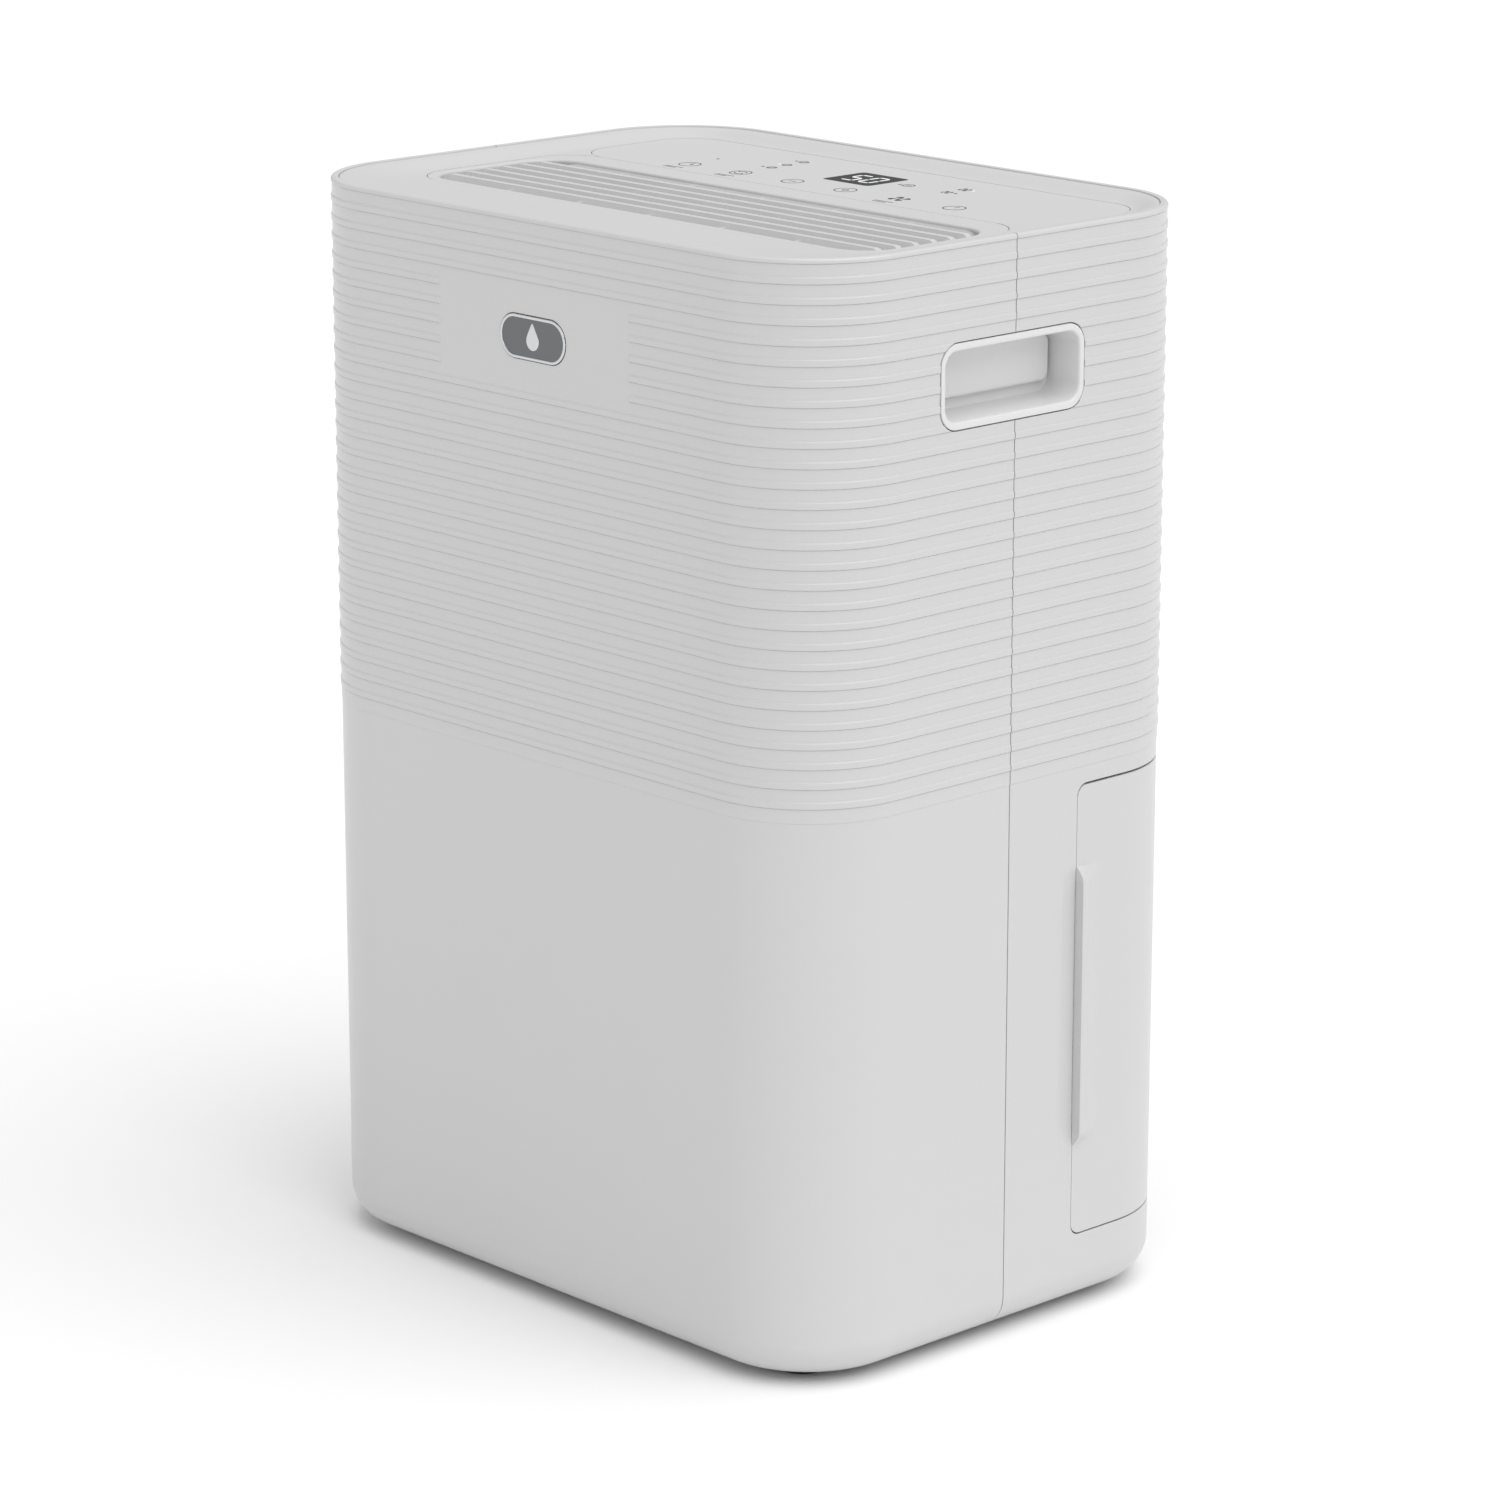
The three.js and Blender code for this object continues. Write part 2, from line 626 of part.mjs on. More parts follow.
// Carrying handle, folded back flat on the lid; round pins run in the lid's lugs.
function tankHandle() {
  const t = BAIL.t / 2
  const end = BAIL.y + BAIL.reach
  const arm = (side) => {
    const x = side * (BAIL.x + 3)
    const bar = box(x - 2.5, x + 2.5, BAIL.y, end, BAIL.z - t, BAIL.z + t)
    const eye = cylinderX(t + 1, x - 2.5, x + 2.5, BAIL.y, BAIL.z, 16)
    const pinEnd = side * (BAIL.x + 11)
    const pin = cylinderX(2.6, Math.min(x, pinEnd), Math.max(x, pinEnd), BAIL.y, BAIL.z, 12)
    return join(bar, eye, pin)
  }
  const x = BAIL.x + 5.5
  const grip = prismX(
    roundedRect(end - 7, end + 5, BAIL.z - t, BAIL.z + t, 3), -x, x, 3)
  return join(grip, arm(1), arm(-1))
}

place('tank_handle', 'inner', tankHandle())

function tankFloat() {
  const hub = cylinderX(4, -FLOAT.x - 3.5, FLOAT.x + 3.5, FLOAT.y, FLOAT.z, 16)
  const pin = cylinderX(1.9, -FLOAT.x - 7, FLOAT.x + 7, FLOAT.y, FLOAT.z, 12)
  const arm = box(-6, 6, FLOAT.y, FLOAT.y + 26, FLOAT.z - 3, FLOAT.z + 2)
  const bob = prismZ(
    roundedRect(-FLOAT.x, FLOAT.x, FLOAT.y + 22, FLOAT.y + 56, 5), FLOAT.z - 21, FLOAT.z - 4, 4)
  const neck = box(-6, 6, FLOAT.y + 23, FLOAT.y + 27, FLOAT.z - 6, FLOAT.z)
  return join(hub, pin, arm, neck, bob)
}

place('tank_float', 'inner', tankFloat())

// ---------------------------------------------------------------- rear inlet, drain, gland

const INLET_GAP = 0.4
const INLET_Y1 = DEPTH / 2 - 0.1

function inletGrille() {
  const x = INLET.x - INLET_GAP
  const z0 = INLET.z0 + INLET_GAP
  const z1 = INLET.z1 - INLET_GAP
  const y0 = INLET_Y1 - INLET_T
  const outer = box(-x, x, y0, INLET_Y1, z0, z1)
  const inner = box(-x + 5, x - 5, 90, DEPTH, z0 + 4, z1 - 4)
  const bars = []
  for (let z = RIB_BASE_Z + 3 * RIB_PITCH; z + RIB_HEIGHT < z1 - 4; z += 2 * RIB_PITCH) {
    bars.push(box(-x + 4, x - 4, y0 + 0.5, INLET_Y1 - 0.3, z, z + RIB_HEIGHT))
  }
  for (const middle of [-38, 38]) {
    bars.push(box(middle - 1.2, middle + 1.2, y0, INLET_Y1 - 1.5, z0 + 2, z1 - 2))
  }
  return join(cut(outer, inner), ...bars)
}

place('inlet_grille', 'shell', inletGrille())

const FILTER_Y1 = INLET_Y1 - INLET_T - 0.3
const FILTER_Y0 = FILTER_Y1 - 3.4

function filterFrame() {
  const x = INLET.x - 2
  const z0 = INLET.z0 + 3
  const z1 = INLET.z1 - 3
  const outer = box(-x, x, FILTER_Y0, FILTER_Y1, z0, z1)
  const windows = []
  const cellX = (2 * x - 6) / 3
  const cellZ = (z1 - z0 - 6) / 2
  for (let i = 0; i < 3; i++) {
    for (let k = 0; k < 2; k++) {
      const u = -x + 3 + i * cellX
      const w = z0 + 3 + k * cellZ
      windows.push(box(u + 2, u + cellX - 2, 90, DEPTH, w + 2, w + cellZ - 2))
    }
  }
  const meshSeat = box(-x + 3, x - 3, FILTER_Y0 - 1, FILTER_Y0 + 1.6, z0 + 3, z1 - 3)
  return cut(outer, ...windows, meshSeat)
}

place('filter_frame', 'dark_plastic', filterFrame())

function filterMesh() {
  const x = INLET.x - 5 - GAP
  return box(-x, x, FILTER_Y0 + 0.2, FILTER_Y0 + 1.2, INLET.z0 + 6 + GAP, INLET.z1 - 6 - GAP)
}

place('filter_mesh', 'filter', filterMesh())

const PORT_Y0 = 114.5
const PORT_STEP_Y = 120.5
const PLUG_Y1 = DEPTH / 2 - 0.8

function drainPort() {
  const body = cylinderY(DRAIN.r, PORT_Y0, DEPTH / 2 - 0.3, DRAIN.x, DRAIN.z, 24)
  const bore = cylinderY(5.6, 100, DEPTH, DRAIN.x, DRAIN.z, 20)
  const seat = cylinderY(8.2, PORT_STEP_Y, DEPTH, DRAIN.x, DRAIN.z, 24)
  return cut(body, bore, seat)
}

place('drain_port', 'inner', drainPort())

function drainPlug() {
  const stem = cylinderY(5.2, PORT_Y0 + 1, PORT_STEP_Y + 1, DRAIN.x, DRAIN.z, 20)
  const head = cylinderY(7.8, PORT_STEP_Y + 0.35, PLUG_Y1 - 2.5, DRAIN.x, DRAIN.z, 24)
  const tab = box(DRAIN.x - 5.5, DRAIN.x + 5.5, PLUG_Y1 - 4, PLUG_Y1, DRAIN.z - 1.3, DRAIN.z + 1.3)
  return join(stem, head, tab)
}

place('drain_plug', 'rubber', drainPlug())

function cordGland() {
  const barrel = cylinderY(GLAND.r, 118.4, DEPTH / 2 - 0.8, GLAND.x, GLAND.z, 20)
  const nut = cylinderY(GLAND.r + 1.6, 118.4, 122.5, GLAND.x, GLAND.z, 6)
  const bore = cylinderY(3.4, 100, DEPTH, GLAND.x, GLAND.z, 14)
  return cut(join(barrel, nut), bore)
}

place('cord_gland', 'dark_plastic', cordGland())

SCREWS.forEach(([x, z], i) => {
  const face = DEPTH / 2 - 0.4
  const head = cylinderY(3.5, SCREW_SEAT_Y + 0.3, face, x, z, 14)
  const shank = cylinderY(1.7, 112, SCREW_SEAT_Y + 1, x, z, 8)
  const cross = [
    box(x - 2, x + 2, face - 1, face + 1, z - 0.4, z + 0.4),
    box(x - 0.4, x + 0.4, face - 1, face + 1, z - 2, z + 2),
  ]
  place(`housing_screw_${i + 1}`, 'steel', cut(join(head, shank), ...cross))
})

// ---------------------------------------------------------------- fan

// Spiral round the impeller: tightest at the tongue, widest where the duct starts on the
// left, and from there straight up to the outlet.
const TONGUE_ANGLE = 2 * Math.PI / 3
const SPIRAL_SWEEP = 5 * Math.PI / 3
const SPIRAL_R = IMPELLER_R + 8
const SPIRAL_GROWTH = 26
const DUCT_TOP_Z = 496

function scrollShape(inset, topZ) {
  const points = []
  const steps = 20
  for (let i = 0; i <= steps; i++) {
    const angle = TONGUE_ANGLE - (i / steps) * SPIRAL_SWEEP
    const r = SPIRAL_R + SPIRAL_GROWTH * (i / steps) - inset
    points.push([r * Math.cos(angle), FAN_Z + r * Math.sin(angle)])
  }
  points.push([inset - SPIRAL_R - SPIRAL_GROWTH, topZ])
  points.push([SPIRAL_R * Math.cos(TONGUE_ANGLE) - inset, topZ])
  return polygon(points)
}

function fanScroll() {
  const t = 2.2
  const outer = prismY(scrollShape(0, DUCT_TOP_Z), SCROLL_Y0, SCROLL_Y1)
  const inner = prismY(scrollShape(t, DUCT_TOP_Z + 5), SCROLL_Y0 + t, SCROLL_Y1 - t)
  const inlet = cylinderY(62, SCROLL_Y1 - 5, SCROLL_Y1 + 5, 0, FAN_Z, 28)
  const shaftHole = cylinderY(8, SCROLL_Y0 - 5, SCROLL_Y0 + 5, 0, FAN_Z, 12)
  const foot = box(-30, 30, SCROLL_Y0 + 6, SCROLL_Y1 - 6, SHELF_Z + 2.3, SHELF_Z + 12.5)
  return cut(join(outer, foot), inner, inlet, shaftHole)
}

place('fan_scroll', 'inner', fanScroll())

// Shallow tray under the outlet grille that spreads the air from the duct over all slots.
function outletPlenum() {
  const { x, y0, y1, z0 } = PLENUM
  const z1 = SLAT_UNDER_Z - GAP
  const outer = prismZ(roundedRect(-x, x, y0, y1, 12), z0, z1, 3)
  const inner = prismZ(roundedRect(2 - x, x - 2, y0 + 2, y1 - 1.6, 10), z0 + 2, z1 + 5, 3)
  const left = -SPIRAL_R - SPIRAL_GROWTH - GAP
  const right = SPIRAL_R * Math.cos(TONGUE_ANGLE) + GAP
  const ductHole = box(left, right, SCROLL_Y0 - GAP, SCROLL_Y1 + GAP, 470, DUCT_TOP_Z)
  return cut(outer, inner, ductHole)
}

place('outlet_plenum', 'dark_plastic', outletPlenum())

function impellerBlade(i) {
  const angle = (i / BLADES) * 2 * Math.PI
  const lean = 0.16
  const inner = IMPELLER_R - 13
  const outer = IMPELLER_R - 1
  const half = 0.012
  const at = (r, a) => [r * Math.cos(a), FAN_Z + r * Math.sin(a)]
  const shape = polygon([
    at(inner, angle - half), at(outer, angle + lean - half),
    at(outer, angle + lean + half), at(inner, angle + half),
  ])
  return prismY(shape, IMPELLER.y0 + 2, IMPELLER.y1 - 1)
}

function fanImpeller() {
  const { y0, y1, hubR, hubY1 } = IMPELLER
  const disc = cylinderY(IMPELLER_R, y0, y0 + 2.6, 0, FAN_Z)
  const ring = cut(
    cylinderY(IMPELLER_R, y1 - 3, y1, 0, FAN_Z), cylinderY(IMPELLER_R - 12, y1 - 4, y1 + 1, 0, FAN_Z))
  const hub = cylinderY(hubR, y0, hubY1, 0, FAN_Z)
  const blades = []
  for (let i = 0; i < BLADES; i++) blades.push(impellerBlade(i))
  const bore = cylinderY(SHAFT.r + GAP, y0 - 5, y1 + 5, 0, FAN_Z, 12)
  return cut(join(disc, ring, hub, ...blades), bore)
}

place('fan_impeller', 'dark_plastic', fanImpeller())

place('fan_shaft', 'steel', cylinderY(SHAFT.r, SHAFT.y0, SHAFT.y1, 0, FAN_Z, 12))

function fanMotor() {
  const can = cylinderY(MOTOR.r, MOTOR.y0, MOTOR.y1, 0, FAN_Z, 24)
  const nose = cylinderY(22, MOTOR.y0 - 3, MOTOR.y0 + 1, 0, FAN_Z)
  const middle = (MOTOR.y0 + MOTOR.y1) / 2
  const feet = [-1, 1].map((side) => {
    const x = side * (MOTOR.r - 2)
    return box(x - 8, x + 8, middle, SCROLL_Y0 - 0.3, FAN_Z - 7, FAN_Z + 7)
  })
  const bore = cylinderY(SHAFT.r + 0.4, MOTOR.y0 - 10, SCROLL_Y0, 0, FAN_Z, 12)
  return cut(join(can, nose, ...feet), bore)
}

place('fan_motor', 'black_paint', fanMotor())

// ---------------------------------------------------------------- coils and drip tray

// Finned block between two end plates, with return bends standing out of the left plate.
function coil({ y0, y1, z0, z1 }) {
  const block = box(-COIL_X + 6, COIL_X - 6, y0 + 1, y1 - 1, z0 + 2, z1 - 2)
  const plates = [-1, 1].map((side) => {
    const x = side * (COIL_X - 5)
    return box(x - 1, x + 1, y0, y1, z0, z1)
  })
  const bends = []
  const middle = (y0 + y1) / 2
  for (let z = z0 + 20; z < z1 - 10; z += 24) {
    bends.push(box(-COIL_X - 8, -COIL_X + 5, middle - 9, middle + 9, z - 2.8, z + 2.8))
  }
  return join(block, ...plates, ...bends)
}

place('evaporator', 'aluminium', coil(EVAPORATOR))
place('condenser', 'aluminium', coil(CONDENSER))

function dripTray() {
  const { x, y0, y1, z0, z1, wall } = DRIP_TRAY
  const outer = prismZ(roundedRect(-x, x, y0, y1, 6), z0, z1, 3)
  const inner = prismZ(
    roundedRect(wall - x, x - wall, y0 + wall, y1 - wall, 4), z0 + wall, z1 + 6, 3)
  const spout = cylinderZ(SPOUT.r, SHELF_Z, z0 + 1, SPOUT.x, SPOUT.y)
  const bore = cylinderZ(SPOUT.r - 2, SHELF_Z - 6.5, z0 + 8, SPOUT.x, SPOUT.y, 16)
  const stands = [-90, 90].map(
    (middle) => box(middle - 2, middle + 2, y0 + 3, y1 - 4, SHELF_Z + 2.3, z0 + 1))
  return cut(join(cut(outer, inner), spout, ...stands), bore)
}

place('drip_tray', 'inner', dripTray())

// ---------------------------------------------------------------- compressor and pipes

// Welded can with a seam bead, three feet and a terminal box on top.
function compressor() {
  const { x, y, r, z0, z1 } = COMPRESSOR
  const seam = z0 + 84
  const can = turned([
    [0, z0], [r - 10, z0], [r, z0 + 14], [r, seam], [r + 2, seam + 1], [r + 2, seam + 8],
    [r, seam + 9], [r, z1 - 30], [r - 5, z1 - 13], [r - 18, z1 - 3], [0, z1],
  ], x, y)
  const footTop = z0 + 3
  const feet = GROMMETS.map(([footX, footY]) => {
    const left = Math.min(x, footX) - 0.1
    const right = Math.max(x, footX) + 0.1
    const front = Math.min(y, footY) - 9
    const rear = Math.max(y, footY) + 9
    return join(
      cylinderZ(11, z0, footTop, footX, footY, 10), box(left, right, front, rear, z0, footTop))
  })
  const terminal = box(x - 13, x + 13, y - 12, y + 12, z1 - 2, z1 + 10)
  const holes = GROMMETS.map(([footX, footY]) => cylinderZ(4, 0, z0 + 10, footX, footY, 8))
  return cut(join(can, ...feet, terminal), ...holes)
}

place('compressor', 'black_paint', compressor())

GROMMETS.forEach(([x, y], i) => {
  const bottom = BASE_TOP_Z + 0.3
  const top = COMPRESSOR.z0 - 0.3
  const profile = [[0, bottom], [9, bottom], [9, top - 6], [7, top - 4], [9, top], [0, top]]
  place(`compressor_grommet_${i + 1}`, 'rubber', turned(profile, x, y, 16))
})

function accumulator() {
  const { x, y, r, z0, z1 } = ACCUMULATOR
  return turned([
    [0, z0], [5, z0], [r - 4, z0 + 6], [r, z0 + 14], [r, z1 - 14], [r - 4, z1 - 6], [5, z1], [0, z1],
  ], x, y, 24)
}

place('accumulator', 'black_paint', accumulator())

function suctionPipe() {
  return tube([
    [ACCUMULATOR.x, ACCUMULATOR.y, ACCUMULATOR.z1 + 0.4],
    [ACCUMULATOR.x, ACCUMULATOR.y, 200], [0, -70, 228], [60, -66, 236], [120, -62, 240],
    [138, -60, 258], [138, -58, 290], [138, -20, 312], [136, 40, 318], [134, 84, 330],
    [127, 96, 348], [118, 96, 350], [COIL_END_X, 96, 350],
  ], PIPE_R, 30)
}

function dischargePipe() {
  return tube([
    [COMPRESSOR.x + 30, COMPRESSOR.y, COMPRESSOR.z1 - 2], [COMPRESSOR.x + 30, COMPRESSOR.y, 204],
    [110, -48, 222], [136, -42, 238], [138, -40, 258], [146, -36, 282], [150, -6, 330],
    [145, 44, 400], [130, 62, 421], [118, 65, 424], [COIL_END_X, 65, 424],
  ], PIPE_R, 26)
}

function capillaryTube() {
  return tube([
    [COIL_END_X, 65, 300], [118, 65, 300], [132, 34, 296], [142, 0, 290], [152, 20, 284],
    [149, 60, 288], [140, 84, 296], [120, 96, 304], [COIL_END_X, 96, 304],
  ], CAPILLARY_R, 24, 6)
}

place('suction_pipe', 'copper', suctionPipe())
place('discharge_pipe', 'copper', dischargePipe())
place('capillary_tube', 'copper', capillaryTube())

// ---------------------------------------------------------------- electrics

function controlBoard() {
  const { x, y0, y1, z } = CONTROL_BOARD
  const board = box(-x, x, y0, y1, z, z + BOARD_T)
  const display = box(
    DISPLAY.x - 15, DISPLAY.x + 15, DISPLAY.y - 12.5, DISPLAY.y + 12.5, z + 1, COVER_UNDER_Z + 1)
  const connector = box(x - 34, x - 14, y1 - 16, y1 - 4, z - 6, z + 1)
  return join(board, display, connector)
}

place('control_board', 'board', controlBoard())

function powerBoard() {
  const { x, y0, y1, z0, z1 } = POWER_BOARD
  const face = x + 1
  const board = box(x, x + BOARD_T, y0, y1, z0, z1)
  const relay = box(face, face + 17, y1 - 24, y1 - 4, z0 + 10, z0 + 30)
  const transformer = box(face, face + 29, y0 + 6, y0 + 40, z0 + 10, z0 + 44)
  const heatSink = box(face, face + 25, y0 + 44, y0 + 54, z1 - 56, z1 - 10)
  const terminals = box(face, face + 13, y0 + 6, y1 - 14, z1 - 36, z1 - 24)
  return join(board, relay, transformer, heatSink, terminals)
}

place('power_board', 'board', powerBoard())

function runCapacitor() {
  const { x, y, r, z0, z1 } = CAPACITOR
  const canTop = z1 - 5
  return turned([
    [0, z0], [r - 1.5, z0], [r, z0 + 2], [r, canTop - 2], [r - 1.5, canTop], [7, canTop], [7, z1],
    [0, z1],
  ], x, y, 24)
}

place('run_capacitor', 'aluminium', runCapacitor())

function humiditySensor() {
  const { x, y, z } = SENSOR
  const body = box(x - 8, x + 8, y, y + 4, z - 11, z + 11)
  const head = cylinderY(5, y + 3, y + 7, x, z, 16)
  return join(body, head)
}

place('humidity_sensor', 'dark_plastic', humiditySensor())

function tankSwitch() {
  const { x, z } = TANK_SWITCH
  const rear = BAY_FRONT_Y - 2.35
  const body = box(x - 10, x + 10, rear - 11.65, rear, z, z + 12)
  const lever = box(x - 8, x + 8, rear - 13.15, rear - 10.65, z + 10, z + 16)
  return join(body, lever)
}

place('tank_switch', 'dark_plastic', tankSwitch())

export default model
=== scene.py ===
# Portable dehumidifier: the visible pieces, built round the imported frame.
# Shapes are worked out in millimetres, in the frame's own axes, and turned into metres
# when a piece is finished. Places come from the CAD nodes' boxes.
import json
from math import atan2, cos, pi, radians, sin, sqrt

import bmesh
import bpy
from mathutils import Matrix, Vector


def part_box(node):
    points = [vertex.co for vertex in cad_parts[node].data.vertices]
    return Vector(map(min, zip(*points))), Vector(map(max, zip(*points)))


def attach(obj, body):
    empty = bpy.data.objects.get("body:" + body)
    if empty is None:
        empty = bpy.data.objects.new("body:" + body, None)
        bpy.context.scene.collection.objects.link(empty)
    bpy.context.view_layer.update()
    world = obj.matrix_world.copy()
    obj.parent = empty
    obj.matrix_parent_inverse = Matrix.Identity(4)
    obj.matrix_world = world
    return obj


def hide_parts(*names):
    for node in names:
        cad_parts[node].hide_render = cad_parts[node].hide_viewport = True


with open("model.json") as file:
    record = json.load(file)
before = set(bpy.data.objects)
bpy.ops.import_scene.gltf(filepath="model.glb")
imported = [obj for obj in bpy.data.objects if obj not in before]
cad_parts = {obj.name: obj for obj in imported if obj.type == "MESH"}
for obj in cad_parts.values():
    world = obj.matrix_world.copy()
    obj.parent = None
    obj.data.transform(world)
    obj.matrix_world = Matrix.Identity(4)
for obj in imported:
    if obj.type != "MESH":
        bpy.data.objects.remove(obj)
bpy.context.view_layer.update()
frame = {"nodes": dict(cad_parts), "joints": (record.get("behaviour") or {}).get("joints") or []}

MM = 0.001

# ---- sizes


def span(node):
    """A CAD node's extent in millimetres: (x0, x1), (y0, y1), (z0, z1)."""
    low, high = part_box(node)
    return [(low[k] / MM, high[k] / MM) for k in range(3)]


def centre(node):
    return [(low + high) / 2 for low, high in span(node)]


def round_part(node, axis):
    """Centre, radius and both ends of a CAD node that is round about an axis."""
    spans = span(node)
    low, high = spans.pop("xyz".index(axis))
    (u0, u1), (v0, v1) = spans
    return (u0 + u1) / 2, (v0 + v1) / 2, (u1 - u0) / 2, low, high


CUP_X, CUP_Y, CUP_Z = span("right_handle_cup")
CUP_R = 10
HALF_X = CUP_X[1]
HALF_Y = span("rear_housing")[1][1]
BOTTOM_Z, TOP_Z = span("front_housing")[2]
SEAM_Y = (span("front_housing")[1][1] + span("rear_housing")[1][0]) / 2
SEAM_HALF = 0.27
CORNER_R = 54
CORNER_STEPS = 22
WALL = 2.6
GAP = 0.35

# places beyond the body, where cuts begin and end
FAR = 400
THROUGH_SIDES = (-300, 300)
THROUGH_REAR = (90, 160)
THROUGH_TOP = (480, 530)

# ribs on the upper zone; the lower zone is smooth and stands a little further back
RIB_PITCH = 8.838
RIB_BASE_Z = 269.2
RIB_HEIGHT = 2.75
RIB_COUNT = 27
VALLEY = 0.43
GROOVE = 0.11
LOWER_INSET = 0.65
LOWER_TOP_Z = 262.7
BOTTOM_FILLET = 16.5
RIM = 3.9
RIM_R = 1.6
RIM_GAP = 0.14

# the plain patch on the front that carries the badge
PATCH_X = 63.5
PATCH_RIBS = range(19, 24)

_, PANEL_Y, PANEL_Z = span("control_panel")
OUTLET_X, OUTLET_Y, OUTLET_Z = span("outlet_grille")
PANEL_R = 22
FLAT_Z = PANEL_Z[1]
COVER_Z = span("top_cover")[2][1]

# the outlet's mouth and the slats across it, whose ends bend down
MOUTH_X = 147.5
MOUTH_Y = (-66.5, 13.5)
MOUTH_R = 18.5
MOUTH_LIP = 1.5
SLAT_COUNT = 6
SLAT_PITCH = 10.95
SLAT_DEPTH = 3.35
SLAT_LEAN = 0.62
FIRST_SLAT_Y = -0.55
DIP = 3.0
BEND_START = 6
BEND_END = 2.5
CROSS_PITCH = 48

TANK_Y0 = span("tank_panel")[1][0]
TANK_Z = span("tank_panel")[2]
GRIP_X = span("tank_panel")[0][1]
TANK_R = 5.6
TANK_GAP = 0.2
TUB_FRONT_R = 12
TUB_REAR_R = 44
GRIP_Z = (83, 216)

# on the tank's lid: the drip opening, the handle's lugs and arms, the float's ears
DRIP_Y = 68
LUG_X = 145
ARM_X = 139
EAR_X = 25.5

INLET_X, _, INLET_Z = span("inlet_grille")
SCREW_NODES = [f"housing_screw_{i}" for i in range(1, 5)]
SCREW_SEAT_Y = 124.6
DRAIN_STEP_Y = 120.5
TRAY_INSET = 19.5
TRAY_R = 39

# the printed marks and the touch keys on the panel
PRINT_T = 0.05
LINE = 0.56
KEY_Y = 45.8
KEY_R = 5.25
KEY_PITCH = 35.15
KEY_ROW_X = 2
SIGNS = {
    "timer": ((0, 0, 0, 3.2), (0, 0, 2.2, 0)),
    "mode": ((-2.6, 1.3, -3.6, 2.6), (2.6, -1.3, 3.6, -2.6)),
    "minus": ((-2.2, 0, 2.2, 0),),
    "plus": ((-2.2, 0, 2.2, 0), (0, -2.2, 0, 2.2)),
    "fan": (),
    "power": ((0, 0, 0, 3.4),),
}
KEY_X = {name: KEY_ROW_X + KEY_PITCH * (i - 2.5) for i, name in enumerate(SIGNS)}
SEGMENTS = {"5": "acdfg", "0": "abcdef"}

# the view, solved from the object's outline and proportions
AZIMUTH = radians(46.825)
ELEVATION = radians(15.0155)
DISTANCE = 2.5119
TARGET = Vector((0.00442, 0, 0.2452))
LENS = 128.93

# ---- mesh code


def shape(verts, faces):
    """A loose object from millimetre points, its faces turned outward."""
    mesh = bpy.data.meshes.new("shape")
    mesh.from_pydata(verts, [], faces)
    bm = bmesh.new()
    bm.from_mesh(mesh)
    bmesh.ops.recalc_face_normals(bm, faces=bm.faces)
    bm.to_mesh(mesh)
    bm.free()
    obj = bpy.data.objects.new("shape", mesh)
    bpy.context.scene.collection.objects.link(obj)
    return obj


def loft(rings, around=False):
    """A closed body through rings of points; around joins the last ring to the first."""
    count = len(rings[0])
    verts = [p for ring in rings for p in ring]
    faces = []
    for i in range(len(rings) if around else len(rings) - 1):
        low = i * count
        high = (i + 1) % len(rings) * count
        for k in range(count):
            after = (k + 1) % count
            faces.append((low + k, low + after, high + after, high + k))
    if not around:
        faces.append(tuple(range(count)))
        faces.append(tuple(range(len(verts) - count, len(verts))))
    return shape(verts, faces)


def at(axis, w, u, v):
    """The point at w along an axis, with u and v along the other two in order."""
    return {"x": (w, u, v), "y": (u, w, v), "z": (u, v, w)}[axis]


def polar(r, angle, u=0, v=0):
    """The point at a distance and an angle from (u, v)."""
    return (u + r * cos(angle), v + r * sin(angle))


def rounded(u0, u1, v0, v1, r, steps=8, r_high=None):
    """Points of a rounded rectangle, counter-clockwise; the corners at v1 may have their own radius."""
    h = r if r_high is None else r_high
    corners = ((u1 - r, v0 + r, r), (u1 - h, v1 - h, h), (u0 + h, v1 - h, h), (u0 + r, v0 + r, r))
    points = []
    for quarter, (cu, cv, size) in enumerate(corners):
        for k in range(steps + 1):
            points.append(polar(size, (quarter - 1 + k / steps) * pi / 2, cu, cv))
    return points


def prism(outline, axis, low, high):
    return loft([[at(axis, w, u, v) for u, v in outline] for w in (low, high)])


def drum(axis, u, v, levels, steps=48):
    """A round body about an axis through (u, v), through (radius, place) levels."""
    turns = [2 * pi / steps * k for k in range(steps)]
    return loft([[at(axis, w, *polar(r, turn, u, v)) for turn in turns] for r, w in levels])


def rod(axis, u, v, r, low, high, steps=48):
    """A plain cylinder, also used as a drill."""
    return drum(axis, u, v, [(r, low), (r, high)], steps)


def profile(start, *levels):
    """(radius, place) levels with the places counted from a start."""
    return [(r, start + place) for r, place in levels]


def edge_levels(low, high, e):
    """(inset, place) levels of a body whose two end edges are rounded by e."""
    start = [(e, low), (0.29 * e, low + 0.29 * e), (0, low + e)]
    return start + [(0, high - e), (0.29 * e, high - 0.29 * e), (e, high)]


def pad(u0, u1, v0, v1, r, axis, levels, steps=6):
    """A rounded block through (inset, place) levels along an axis."""
    rings = []
    for d, w in levels:
        outline = rounded(u0 + d, u1 - d, v0 + d, v1 - d, max(r - d, 0.04), steps)
        rings.append([at(axis, w, u, v) for u, v in outline])
    return loft(rings)


def block(x0, x1, y0, y1, z0, z1, e=0.5, r=None, axis="z", steps=3):
    """A box with every edge rounded by e and the edges along axis by r."""
    spans = {"x": (y0, y1, z0, z1, x0, x1), "y": (x0, x1, z0, z1, y0, y1)}
    u0, u1, v0, v1, w0, w1 = spans.get(axis, (x0, x1, y0, y1, z0, z1))
    return pad(u0, u1, v0, v1, max(r or 0, e + 0.02), axis, edge_levels(w0, w1, e), steps)


